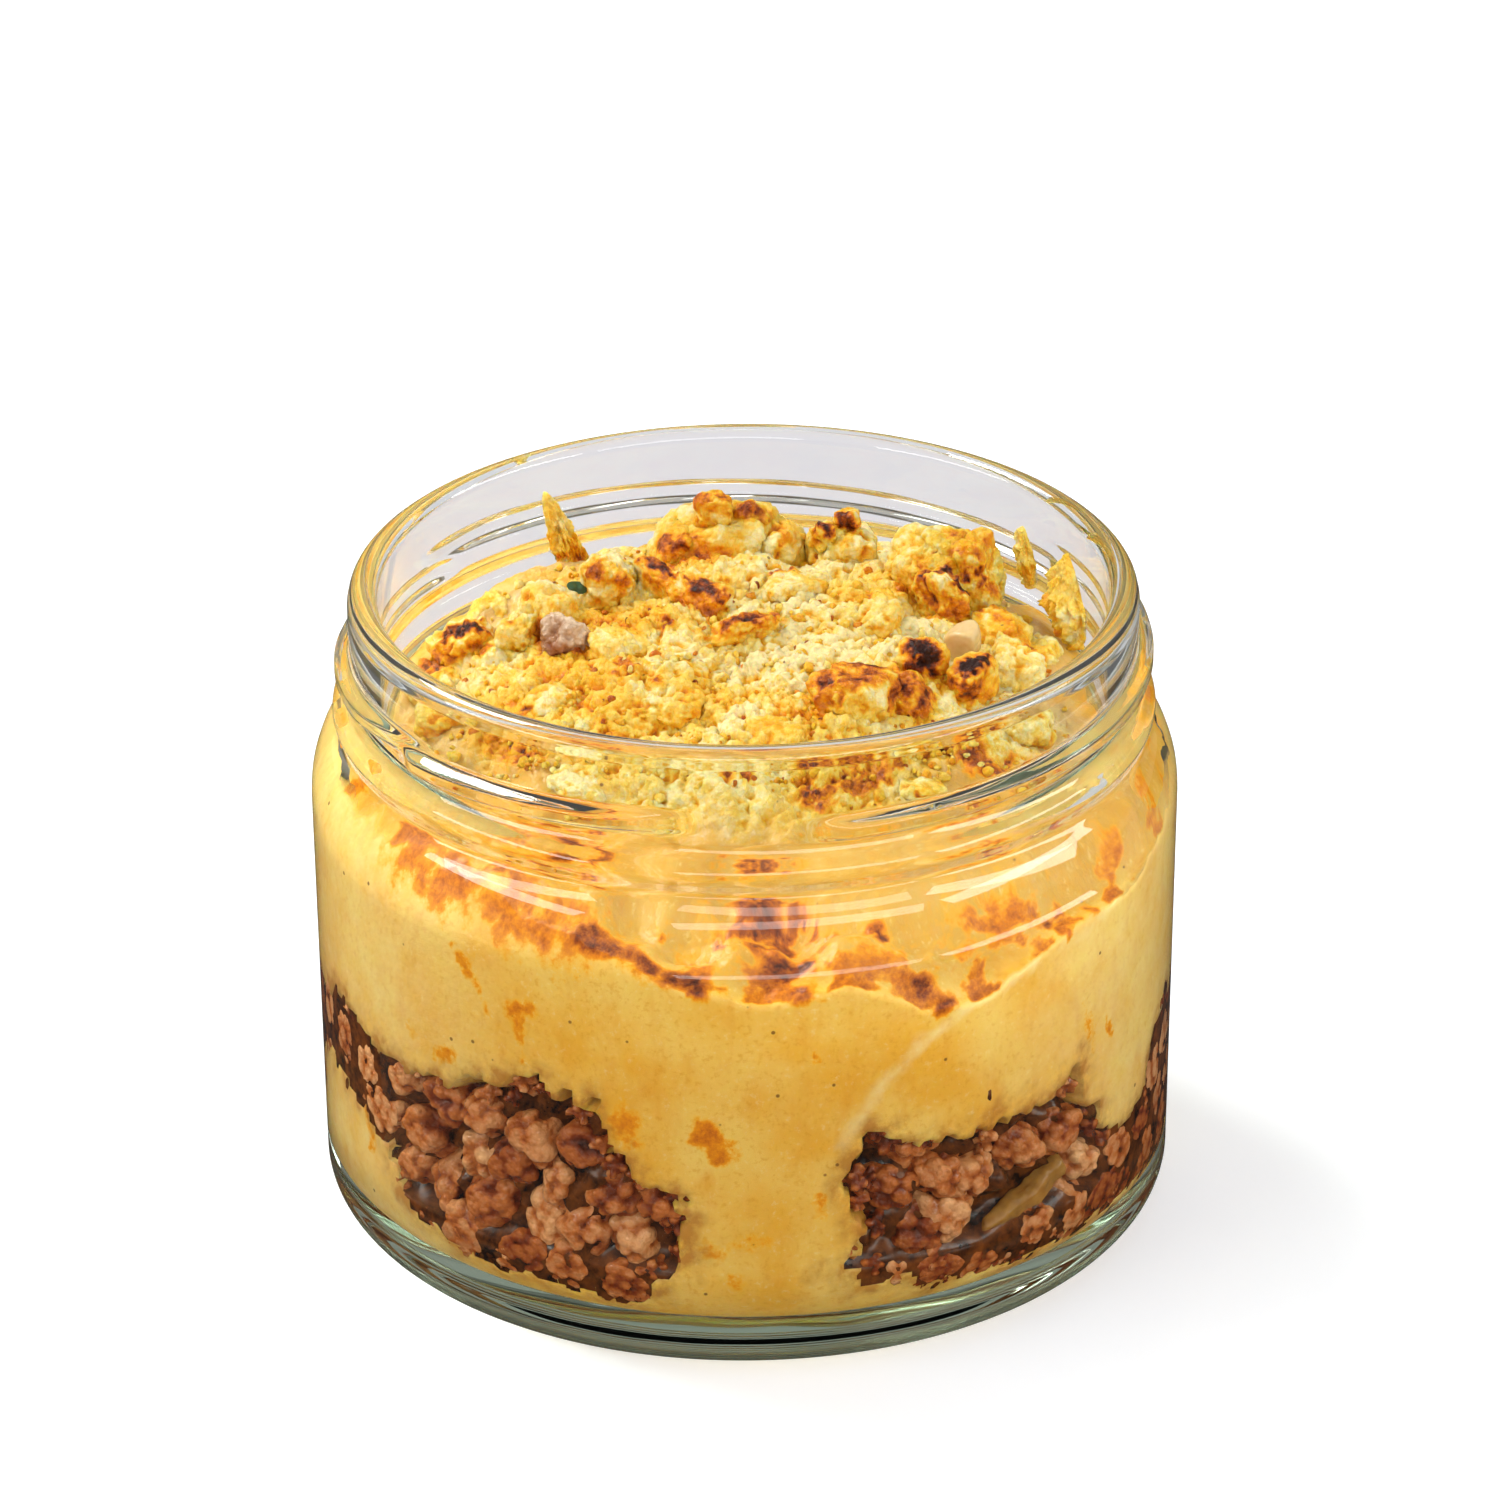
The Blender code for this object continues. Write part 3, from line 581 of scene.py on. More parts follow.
def buildMash(material):
    s = mashSet
    reach = s["intoWall"]
    floorEnd = s["floorRings"]
    heelEnd = floorEnd + s["heelRings"]
    sideEnd = heelEnd + s["sideRings"]
    last = sideEnd + s["crustRings"]
    shape = drum(s["segments"], last)
    ring, azimuth = drumPlaces(shape)

    # contact height on the glass at each azimuth, with a ragged edge
    around = np.stack([*polar(wallRadius, azimuth), np.zeros(len(ring))], axis=1)
    contact = np.interp(azimuth, *zip(*contactLine))
    contact += 0.5 * noiseAt(around, 5.0, 1) + 0.5 * noiseAt(around, 2.0, 2, 2)
    contact -= s["shrunk"] * smoothStep(48, 72, np.abs(azimuth))

    r = np.zeros(len(ring))
    z = np.zeros(len(ring))
    onFloor = ring <= floorEnd
    r[onFloor] = floorEdge * ring[onFloor] / floorEnd
    z[onFloor] = floorHeight(r[onFloor]) + s["floorGap"]
    onHeel = (ring > floorEnd) & (ring <= heelEnd)
    turn = np.radians(-90 + 90 * (ring[onHeel] - floorEnd) / s["heelRings"])
    lifted = smoothStep(-52, -72, np.degrees(turn))
    heelRound = jarSet["floorRound"] + reach - (reach + s["floorGap"]) * lifted
    r[onHeel] = floorEdge + heelRound * np.cos(turn)
    z[onHeel] = jarSet["floorZ"] + jarSet["floorRound"] + heelRound * np.sin(turn)
    onSide = (ring > heelEnd) & (ring <= sideEnd)
    start = jarSet["floorZ"] + jarSet["floorRound"]
    z[onSide] = start + (contact[onSide] - start) * (ring[onSide] - heelEnd) / s["sideRings"]
    r[onSide] = innerRadius(z[onSide]) + reach
    onCrust = ring > sideEnd
    inward = (ring[onCrust] - sideEnd) / s["crustRings"]
    rim = innerRadius(contact[onCrust])
    r[onCrust] = rim * (1 - inward)
    x, y = polar(r, azimuth)

    cx, cy = x[onCrust], y[onCrust]
    fromRim = rim - r[onCrust]
    free = smoothStep(0, s["rimRound"], fromRim)
    z[onCrust] = contact[onCrust] * (1 - free) + (domeAt(cx, cy) + crustSwells(cx, cy)) * free
    z[onCrust] += 0.7 * (1 - free) * np.sqrt(np.clip(fromRim / s["rimRound"], 0, 1))

    # the pockets of mince are pressed into the side
    wall = onSide | onHeel
    spots = np.stack([x, y, z], axis=1)
    inside = np.full(len(ring), -9.0)
    ragged = 1.4 * noiseAt(spots[wall], 4.5, 6) + 1.2 * noiseAt(spots[wall], 1.8, 7, 2)
    inside[wall] = pocketDepthAt(azimuth[wall], z[wall]) + ragged
    r = r - minceSet["pocketDepth"] * smoothStep(-0.1, 0.9, inside) * wall
    x, y = polar(r, azimuth)
    placeVerts(shape, np.stack([x, y, z], axis=1))

    # crumbly grain, along the surface's own normals
    co = placesOf(shape) / mm
    normals = np.array([v.normal for v in shape.verts])
    at = np.where(onCrust)[0]
    grain = grainAt(co[at])
    # the smooth mash comes further in at the front
    front = smoothStep(-6, -20, co[at][:, 1])
    dry = smoothStep(4.0, 16.0, fromRim - 7.0 * front + 3.0 * noiseAt(co[at], 7.0, 37, 2))
    loose = 0.15 * free + 0.85 * dry
    co[at] += normals[at] * ((grain - s["grainMiddle"]) * loose)[:, None]
    placeVerts(shape, co)

    piece = makeObject("mashedPotato", shape, ("mash",), (material,))
    count = len(ring)
    relief, bakeAndShade, freely, fold = (np.zeros(count) for _ in range(4))
    relief[at] = 1 + (grain - 1) * dry
    rimmed = smoothStep(7.0, 0.5, fromRim) * smoothStep(-0.1, 0.35, noiseAt(co[at], 4.5, 36, 3))
    golden = s["goldenLeft"] * smoothStep(8, -20, co[at][:, 0]) * dry
    golden += s["goldenRim"] * smoothStep(24, 8, fromRim) * front
    bakeAndShade[at] = np.maximum(bakeMarks(co[at]), s["rimBake"] * rimmed + golden)
    bakeAndShade[wall] = sideBake(co[wall])
    freely[at] = loose
    # past 25 degrees either side of the front the side mash is made paler, painted light, carried along with
    # the pale folds
    fold[wall] = np.maximum(foldsAt(co[wall]), s["paleSides"] * smoothStep(25, 60, np.abs(azimuth[wall])))
    setMashAttributes(piece, bakeAndShade, relief, freely, smoothStep(-3.6, 0.4, inside), fold)


def boulder(unit, seed):
    # radius of a rounded random polyhedron in each direction
    rng = np.random.default_rng(seed)
    normals = rng.normal(size=(lumpSet["facets"], 3))
    normals = np.vstack([normals / np.linalg.norm(normals, axis=1)[:, None], np.eye(3), -np.eye(3)])
    distances = rng.uniform(0.78, 1.08, len(normals))
    facing = np.clip(unit @ normals.T, 0, None) / distances
    return (facing ** lumpSet["edgePower"]).sum(axis=1) ** (-1 / lumpSet["edgePower"])


def buildLumps(material):
    # lumps torn from boiled potato, with flat broken faces, each its own closed body
    s = lumpSet
    shape = bmesh.new()
    bakesAndShade, reliefs = [], []
    for i, (x, y, top, halfLength, halfWidth, halfHeight, turn) in enumerate(lumps):
        part, unit = ball(5 if halfLength > s["fineFrom"] else 4)
        size = np.array((halfLength, halfWidth, halfHeight))
        mean = float(np.mean(size))
        body = unit * boulder(unit, i)[:, None] * size
        torn = s["torn"] * mean * (noiseAt(body + i * 9.1, mean * 0.9, 40, 3) - 0.3)
        pitted = s["pitted"] * mean * (crumbsAt(body + i * 5.3, mean * 0.55, 41) - 0.4)
        spin = (0, 0, math.radians(turn))
        body = turned(body + unit * (torn + pitted)[:, None], spin) + np.array((x, y, top - halfHeight))
        normal = turned(unit, spin)
        # some faces stay smooth where the potato broke clean
        coarse = 0.35 + 0.65 * smoothStep(-0.35, 0.25, noiseAt(body, 5.0, 44))
        grain = grainAt(body)
        body += normal * ((grain - mashSet["grainMiddle"]) * s["grain"] * coarse)[:, None]
        placeVerts(part, body)
        # steep and downward faces get painted shade, golden like browning, besides the scorches' real
        # browning
        steep = smoothStep(0.45, -0.5, normal[:, 2])
        bakesAndShade.append(np.maximum(bakeMarks(body), s["steepShade"] * steep + 0.06 * coarse))
        reliefs.append(0.6 + (grain - mashSet["grainMiddle"]) * coarse)
        joinInto(shape, part)
    piece = makeObject("crustLumps", shape, (), (material,))
    setMashAttributes(piece, np.concatenate(bakesAndShade), np.concatenate(reliefs), 1, 0, 0)


crumbSet = {"count": 1500, "spread": 34.5, "frontY": -22.0, "small": (0.16, 0.38), "large": (0.38, 0.68),
            "largeShare": 0.1, "uneven": 0.45, "brownShare": 0.12}


def buildCrustCrumbs(material):
    # loose grains of mash on the crust, a few of them browned
    s = crumbSet
    count = s["count"]
    rng = np.random.default_rng(11)
    grain, unit = ball(2)
    mesh = bpy.data.meshes.new("grain")
    grain.to_mesh(mesh)
    grain.free()
    shape = bmesh.new()
    for _ in range(count):
        shape.from_mesh(mesh)
    bpy.data.meshes.remove(mesh)
    x, y = polar(s["spread"] * np.sqrt(rng.random(count)), rng.uniform(0, 360, count))
    # none lie on the smooth mash at the front
    y = np.where(y < s["frontY"], y * 0.6, y)
    flat = np.stack([x, y, np.zeros(count)], axis=1)
    z = domeAt(x, y) + crustSwells(x, y) + 0.35 * crumbsAt(flat, 3.1, 1)
    large = rng.random(count) < s["largeShare"]
    size = np.where(large, rng.uniform(*s["large"], count), rng.uniform(*s["small"], count))
    middle = np.stack([x, y, z + 0.3 * size], axis=1)
    stretch = rng.uniform(0.7, 1.3, (count, 1, 3))
    points = (unit[None] * size[:, None, None] * stretch + middle[:, None]).reshape(-1, 3)
    away = np.tile(unit, (count, 1))
    points += away * (s["uneven"] * np.repeat(size, len(unit)) * noiseAt(points, 0.5, 12))[:, None]
    placeVerts(shape, points)
    piece = makeObject("crustCrumbs", shape, (), (material,))
    browned = rng.random(count) < s["brownShare"]
    toast = np.where(browned, rng.uniform(0.4, 0.62, count), rng.uniform(0, 0.3, count))
    setMashAttributes(piece, np.repeat(toast, len(unit)), 0.8, 1, 0, 0)


crustTones = ((0.0, "ffe9a8"), (0.12, "fdd565"), (0.26, "fabc2a"), (0.4, "f09a0c"), (0.52, "dc7c0a"),
              (0.64, "be620e"), (0.77, "8e3e0e"), (0.9, "5a240c"), (1.0, "34140a"))


def mashMaterial():
    # mashed potato with butter and egg, grilled: creamy and moist at the glass, dry gold crust,
    # brown to black where it caught
    made, tree = emptyMaterial("grilledMash")
    coords = addNode(tree, "ShaderNodeTexCoord").outputs["Object"]
    upright = addNode(tree, "ShaderNodeMapping", {"Vector": coords, "Scale": (1.0, 1.0, 0.35)}).outputs[0]
    # the first attribute is browning, and on the lumps painted shade on their steep faces as well
    bakeAndShade, relief, free, stain, fold = (
        addNode(tree, "ShaderNodeAttribute", attribute_name=name).outputs["Fac"]
        for name in ("bakeAndShade", "relief", "free", "stain", "fold"))
    coarse, fine, cloud, streaks, grit = (
        addNode(tree, "ShaderNodeTexNoise", {"Vector": vector, "Scale": perSize(sizeMm), "Detail": detail,
                                             "Roughness": roughness}).outputs["Fac"]
        for vector, sizeMm, detail, roughness in (
            (coords, 3.0, 4.0, 0.65), (coords, 0.8, 4.0, 0.7), (coords, 9.0, 3.0, 0.5),
            (upright, 2.4, 4.0, 0.6), (coords, 0.35, 2.0, 0.5)))
    masks = {
        name: addNode(tree, "ShaderNodeMapRange", {"Value": value, "From Min": low, "From Max": high,
                                                   "To Min": toLow, "To Max": toHigh}).outputs["Result"]
        for name, value, low, high, toLow, toHigh in (
            ("broken", coarse, 0.0, 1.0, -0.17, 0.17), ("fineLift", fine, 0.0, 1.0, -0.5, 0.5),
            ("speckle", free, 0.0, 1.0, 0.15, 0.45), ("hollowShade", relief, 0.95, 0.1, 0.0, 0.5),
            ("patchy", cloud, 0.4, 0.65, -0.06, 0.15), ("enclosed", free, 0.0, 1.0, 1.0, 0.0),
            ("butter", cloud, 0.35, 0.65, 0.0, 1.0), ("nearRimShade", free, 0.0, 0.25, 0.0, 0.85),
            ("streaked", streaks, 0.52, 0.74, 0.0, 0.5), ("oily", fine, 0.54, 0.66, 0.0, 0.5),
            ("paler", fine, 0.42, 0.26, 0.0, 0.5), ("foldAndSideLight", coarse, 0.3, 0.65, 0.25, 0.75),
            ("stained", coarse, 0.35, 0.7, 0.0, 1.5), ("rough", free, 0.0, 1.0, 0.12, 0.85))}

    # level on the crust's ramp: browning and scorches broken up by noise, and painted shade in the hollows
    # between the grains, golden orange rather than dark
    speckled = addNode(tree, "ShaderNodeMath", {0: bakeAndShade, 1: 0.9, 2: masks["speckle"]},
                       operation="MULTIPLY_ADD").outputs[0]
    level = addNode(tree, "ShaderNodeMath", {0: bakeAndShade, 1: masks["broken"]}, operation="ADD").outputs[0]
    for lift, share in ((masks["fineLift"], speckled), (masks["hollowShade"], free), (masks["patchy"], free)):
        level = addNode(tree, "ShaderNodeMath", {0: lift, 1: share, 2: level},
                        operation="MULTIPLY_ADD").outputs[0]
    crust = addNode(tree, "ShaderNodeValToRGB", {"Fac": level})
    fillRamp(crust.color_ramp, [(place, hexColour(code)) for place, code in crustTones])

    # the mash against the glass: creamy clouds, butter, and folds of paler mash, paler still towards the
    # sides with painted light; just in from the rim painted shade darkens it to orange-brown
    foldAndSideLight = addNode(tree, "ShaderNodeMath", {0: fold, 1: masks["foldAndSideLight"]}, operation="MULTIPLY").outputs[0]
    creamy = hexColour("f6cc66")
    for share, code in (
            (masks["butter"], "f0b23a"), (masks["nearRimShade"], "b87420"), (masks["streaked"], "e49a28"),
            (masks["oily"], "e09a2a"), (masks["paler"], "fadf94"), (foldAndSideLight, "fbe4a2")):
        creamy = addNode(tree, "ShaderNodeMix", {0: share, 6: creamy, 7: hexColour(code)},
                         data_type="RGBA").outputs[2]
    unbaked = addNode(tree, "ShaderNodeMapRange", {"Value": level, "From Min": 0.24, "From Max": 0.4,
                                                   "To Min": 1.0, "To Max": 0.0}).outputs["Result"]
    pale = addNode(tree, "ShaderNodeMath", {0: masks["enclosed"], 1: unbaked},
                   operation="MULTIPLY").outputs[0]
    # gravy has stained it round the mince
    edge = addNode(tree, "ShaderNodeMath", {0: stain, 1: masks["stained"]}, operation="MULTIPLY").outputs[0]
    edge = addNode(tree, "ShaderNodeMath", {0: edge, 1: 0.8}, operation="MINIMUM").outputs[0]
    # pepper, about a third of a millimetre
    pepper = addNode(tree, "ShaderNodeTexVoronoi", {"Vector": coords, "Scale": perSize(4.2)})
    specks = addNode(tree, "ShaderNodeMapRange", {"Value": pepper.outputs["Distance"], "From Min": 0.04,
                                                  "From Max": 0.06, "To Min": 0.8, "To Max": 0.0})
    colour = crust.outputs["Color"]
    for share, over in ((pale, creamy), (edge, hexColour("b8742a")),
                        (specks.outputs["Result"], hexColour("6a3c16"))):
        colour = addNode(tree, "ShaderNodeMix", {0: share, 6: colour, 7: over}, data_type="RGBA").outputs[2]

    grains = addNode(tree, "ShaderNodeTexVoronoi", {"Vector": coords, "Scale": perSize(0.85)})
    height = fine
    for bumpy, share in ((grains.outputs["Distance"], -0.9), (grit, 0.35)):
        height = addNode(tree, "ShaderNodeMath", {0: bumpy, 1: share, 2: height},
                         operation="MULTIPLY_ADD").outputs[0]
    bumps = addNode(tree, "ShaderNodeBump", {"Height": height, "Strength": masks["rough"],
                                             "Distance": 0.55 * mm})
    skin = addNode(tree, "ShaderNodeBsdfPrincipled",
                   {"Base Color": colour, "Roughness": 0.34, "IOR": 1.36, "Subsurface Weight": 0.34,
                    "Subsurface Scale": 1.8 * mm, "Subsurface Radius": (1.0, 0.5, 0.1),
                    "Normal": bumps.outputs["Normal"]})
    addNode(tree, "ShaderNodeOutputMaterial", {"Surface": skin.outputs["BSDF"]})
    return made


minceSet = {
    "pocketDepth": 4.2, "lowZ": 5.2, "highZ": 32.0, "rowShare": 0.87, "intoWall": 0.14,
    "gravyInset": 2.3, "gravySwell": 2.2, "gravyIntoWall": 0.08, "gravySegments": 260, "gravyRings": 44,
    "endRings": 6,
    # spacing, radii, knobs, first row's height, least and most depth in the pocket, subdivisions
    "kinds": ((5.7, (2.6, 3.3), 32, 4.0, 0.9, 30.0, 4), (3.3, (1.2, 1.8), 9, 2.0, -0.3, 2.2, 3)),
    "knobReach": 0.72, "knobRadius": (0.25, 0.38), "tone": (0.32, 0.78),
}
minceTones = {
    "braisedMince": ((0.0, "200801"), (0.28, "84340e"), (0.55, "c66c30"), (1.0, "ffc084")),
    "driedMince": ((0.0, "4a1c0c"), (0.35, "864426"), (0.65, "b4845a"), (1.0, "ecd2b0")),
}


def minceMaterial(name):
    # minced beef braised in gravy: fine knobbly grains with a wet gloss
    made, tree = emptyMaterial(name)
    coords = addNode(tree, "ShaderNodeTexCoord").outputs["Object"]
    tone = addNode(tree, "ShaderNodeAttribute", attribute_name="tone").outputs["Fac"]
    fibre = addNode(tree, "ShaderNodeTexNoise", {"Vector": coords, "Scale": perSize(0.9), "Detail": 4.0,
                                                 "Roughness": 0.65}).outputs["Fac"]
    patch = addNode(tree, "ShaderNodeTexNoise", {"Vector": coords, "Scale": perSize(5.0), "Detail": 2.0})
    mottle = addNode(tree, "ShaderNodeMath", {0: fibre, 1: 0.45, 2: tone}, operation="MULTIPLY_ADD")
    level = addNode(tree, "ShaderNodeMath", {0: mottle.outputs[0], 1: 0.22}, operation="SUBTRACT",
                    use_clamp=True)
    grains = addNode(tree, "ShaderNodeValToRGB", {"Fac": level.outputs[0]})
    fillRamp(grains.color_ramp, [(place, hexColour(code)) for place, code in minceTones[name]])
    reddish = addNode(tree, "ShaderNodeMapRange", {"Value": patch.outputs["Fac"], "From Min": 0.5,
                                                   "From Max": 0.72, "To Max": 0.5})
    colour = addNode(tree, "ShaderNodeMix", {0: reddish.outputs["Result"], 6: grains.outputs["Color"],
                                             7: hexColour("8e3c1a")}, data_type="RGBA")
    grit = addNode(tree, "ShaderNodeTexVoronoi", {"Vector": coords, "Scale": perSize(0.6)})
    height = addNode(tree, "ShaderNodeMath", {0: fibre, 1: grit.outputs["Distance"]}, operation="SUBTRACT")
    bumps = addNode(tree, "ShaderNodeBump", {"Height": height.outputs[0], "Strength": 0.9,
                                             "Distance": 0.3 * mm})
    meat = addNode(tree, "ShaderNodeBsdfPrincipled",
                   {"Base Color": colour.outputs[2], "Roughness": 0.2, "IOR": 1.4, "Coat Weight": 0.3,
                    "Coat Roughness": 0.05, "Normal": bumps.outputs["Normal"]})
    addNode(tree, "ShaderNodeOutputMaterial", {"Surface": meat.outputs["BSDF"]})
    return made


def wetness(azimuth, z):
    # 1 where the gravy lies against the glass, 0 where the crumbs stand clear of it
    return np.maximum(smoothStep(12.8, 10.8, z), smoothStep(50, 60, np.abs(azimuth)))


def buildMinceCore(material):
    # set gravy behind and between the crumbs
    s = minceSet
    ends, last = s["endRings"], s["gravyRings"]
    shape = drum(s["gravySegments"], last)
    ring, azimuth = drumPlaces(shape)
    share = np.clip((ring - ends) / (last - 2 * ends), 0, 1)
    z = s["lowZ"] + (s["highZ"] - s["lowZ"]) * share
    r = innerRadius(z)
    spots = np.stack([*polar(r, azimuth), z], axis=1)
    inset = s["gravyInset"] + s["gravySwell"] * noiseAt(spots, 3.5, 51, 3)
    # it reaches the glass low down, and towards the sides
    wet = wetness(azimuth, z)
    inset = inset * (1 - wet) - s["gravyIntoWall"] * wet
    r = (r - inset) * np.clip(ring / ends, 0, 1) * np.clip((last - ring) / ends, 0, 1)
    x, y = polar(r, azimuth)
    placeVerts(shape, np.stack([x, y, z], axis=1))
    makeObject("minceGravy", shape, ("mince",), (material,))


def knobbly(subdivisions, size, seed, knobs):
    # one crumb of mince: round knobs standing out of a squashed ball, and how proud each point is
    part, unit = ball(subdivisions)
    rng = np.random.default_rng(seed)
    heights = (np.arange(knobs) + 0.5) / knobs * 2 - 1
    turns = np.arange(knobs) * math.pi * (3 - math.sqrt(5))
    across = np.sqrt(1 - heights ** 2)
    middles = np.stack([across * np.cos(turns), across * np.sin(turns), heights], axis=1)
    middles += rng.normal(0, 0.16, middles.shape)
    middles *= minceSet["knobReach"] / np.linalg.norm(middles, axis=1)[:, None]
    knobRadius = rng.uniform(*minceSet["knobRadius"], knobs)
    along = unit @ middles.T
    under = along ** 2 - (middles ** 2).sum(axis=1) + knobRadius ** 2
    far = np.where(under > 0, along + np.sqrt(np.clip(under, 0, None)), 0.5).max(axis=1)
    crumb = unit * far[:, None] * size * rng.uniform(0.82, 1.18, 3)
    crumb *= 1 + 0.3 * noiseAt(crumb + seed * 7.7, size * 1.3, 52)[:, None]
    crumb += unit * (0.14 * noiseAt(crumb, 0.8, 54, 2))[:, None]
    return part, crumb, smoothStep(0.8, 1.05, far)


def buildMinceCrumbs(material):
    # crumbs at the glass inside the pockets, and smaller ones between them and along the edges
    s = minceSet
    rng = np.random.default_rng(5)
    shape = bmesh.new()
    tones = []
    for spacing, radii, knobs, start, least, most, subdivisions in s["kinds"]:
        rows = int((s["highZ"] - s["lowZ"]) / (spacing * s["rowShare"]))
        columns = int(2 * math.pi * wallRadius / spacing)
        for row in range(rows):
            for column in range(columns):
                azimuth = 360 * (column + 0.5 * (row % 2)) / columns + rng.uniform(-2, 2) - 180
                z = s["lowZ"] + start + row * spacing * s["rowShare"] + rng.uniform(-0.9, 0.9)
                size = rng.uniform(*radii)
                depth = pocketDepthAt(np.array([azimuth]), np.array([z]))[0]
                onStrip = abs(azimuth - onionStrip["azimuth"]) < 9 and abs(z - onionStrip["z"]) < 3
                if onStrip or not least < depth < most:
                    continue
                part, crumb, proud = knobbly(subdivisions, size, len(tones), knobs)
                inset = size * (rng.uniform(0.84, 1.0) - 0.42 * float(wetness(azimuth, z)))
                x, y = polar(float(innerRadius(z)) - inset, azimuth)
                crumb += np.array((x, y, z))
                # flattened where it presses on the glass
                reach = np.hypot(crumb[:, 0], crumb[:, 1])
                limit = innerRadius(np.maximum(crumb[:, 2], jarSet["floorZ"] + 0.2)) + s["intoWall"]
                crumb[:, :2] *= np.minimum(1, limit / np.maximum(reach, 1e-6))[:, None]
                placeVerts(part, crumb)
                joinInto(shape, part)
                # a random tone for each crumb, lighter on its proud knobs and darker in the grooves between
                # them, which is painted shade
                tones.append(rng.uniform(*s["tone"]) + 0.36 * (proud - 0.7))
    piece = makeObject("minceCrumbs", shape, (), (material,))
    print("mince crumbs:", len(tones), "triangles:", len(piece.data.polygons))
    setAttribute(piece, "tone", np.concatenate(tones))


# dabs of mash on the neck's inner wall: piece and CAD node, azimuth of foot and tip, lowest and
# highest point, widest half width, its share at the foot and at the tip, thickness, browning low down
smears = (
    ("smearBackLeft", "mash_smear_back_left", -152.2, -145.6, 53.6, 65.8, 1.6, 1.1, 0.4, 1.6, 0.62),
    ("smearBackRight", "mash_smear_back_right", 124.8, 128.0, 58.4, 65.0, 1.1, 0.5, 0.4, 1.2, 0.22),
    ("smearRight", "mash_smear_right", 108.6, 114.8, 55.6, 65.2, 2.6, 0.25, 0.12, 3.4, 0.2),
)
smearSet = {"intoWall": 0.08, "subdivisions": 6}


def buildSmear(name, node, foot, tip, low, high, halfWidth, atFoot, atTip, thickness, toast, material):
    shape, co = ball(smearSet["subdivisions"])
    up = (co[:, 2] + 1) / 2
    z = low + (high - low) * up
    # across and outward on the unit ring, so that the ends stay blunt
    ring = np.maximum(np.sqrt(1 - np.clip(co[:, 2] ** 2, 0, 1)), 0.02)
    blunt = np.sqrt(np.clip(1 - co[:, 2] ** 6, 0, 1))
    width = np.interp(up, (0, 0.45, 1), (atFoot, 1, atTip)) * blunt
    lump = noiseAt(co * 4 + len(name), 1.6, 12, 3)
    perMm = math.degrees(1 / jarSet["lipInner"])
    across = co[:, 0] / ring * halfWidth * width * (1 + 0.4 * lump)
    angle = foot + (tip - foot) * up + across * perMm
    spots = np.stack([*polar(innerRadius(z), angle), z], axis=1)
    grain = crumbsAt(spots, 1.5, 15) + 0.6 * crumbsAt(spots, 0.8, 16)
    bulge = np.clip(-co[:, 1] / ring, 0, 1) * np.sqrt(width)
    depth = bulge * (thickness * (0.8 + 0.5 * lump) + 0.7 * grain)
    r = innerRadius(z) + smearSet["intoWall"] - np.maximum(depth, 0)
    points = np.stack([*polar(r, angle), z], axis=1)
    placeVerts(shape, points)
    if shape.calc_volume(signed=True) < 0:
        bmesh.ops.reverse_faces(shape, faces=shape.faces[:])
    piece = makeObject(name, shape, (node,), (material,))
    bakeAndShade = 0.06 + toast * smoothStep(0.8, 0.15, up) * (0.7 + 1.1 * noiseAt(points, 1.8, 13, 2))
    setMashAttributes(piece, bakeAndShade, 0.95 + 0.2 * noiseAt(points, 1.5, 14), 1, 0, 0)


topCrumb = {"middle": (-18.9, 4.0, 60.9), "halfSizes": (2.9, 2.4, 2.6), "turn": 20}


def buildTopCrumb(material):
    # a crumb of mince stuck in the crust, dry, paler on top and towards +X; darker between its grains, which
    # is painted shade
    s = topCrumb
    part, unit = ball(5)
    body = unit * boulder(unit, 79)[:, None] * np.array(s["halfSizes"])
    grain = crumbsAt(body, 1.5, 17) + 0.5 * crumbsAt(body, 0.8, 18)
    body += unit * (0.75 * (grain - 0.7) + 0.4 * noiseAt(body, 2.0, 19, 3))[:, None]
    body = turned(body, (0.2, 0.1, math.radians(s["turn"])))
    placeVerts(part, body + np.array(s["middle"]))
    piece = makeObject("minceCrumbTop", part, ("mince_crumb_top",), (material,))
    # paler on top and towards +X, and darker in the gaps between the grains, which is painted shade
    top = smoothStep(-0.6, 1.6, body[:, 2] + 0.6 * body[:, 0])
    setAttribute(piece, "tone", 0.2 + 0.3 * grain + 0.4 * top)


topOnion = {"middle": (23.2, 3.4, 60.9), "halfSizes": (2.0, 1.7, 2.3), "turn": -25}


def buildTopOnion(material):
    # a cut piece: rounded flat faces
    s = topOnion
    part, unit = ball(5)
    body = unit * boulder(unit, 77)[:, None] * np.array(s["halfSizes"])
    body += unit * (0.12 * noiseAt(body, 1.2, 24, 2))[:, None]
    placeVerts(part, turned(body, (0.2, 0.1, math.radians(s["turn"]))) + np.array(s["middle"]))
    makeObject("onionPieceTop", part, ("onion_piece_top",), (material,))


onionStrip = {"azimuth": 42, "z": 13.6, "rise": 0.36, "inset": 0.8, "halfSizes": (6.0, 1.0, 1.3)}


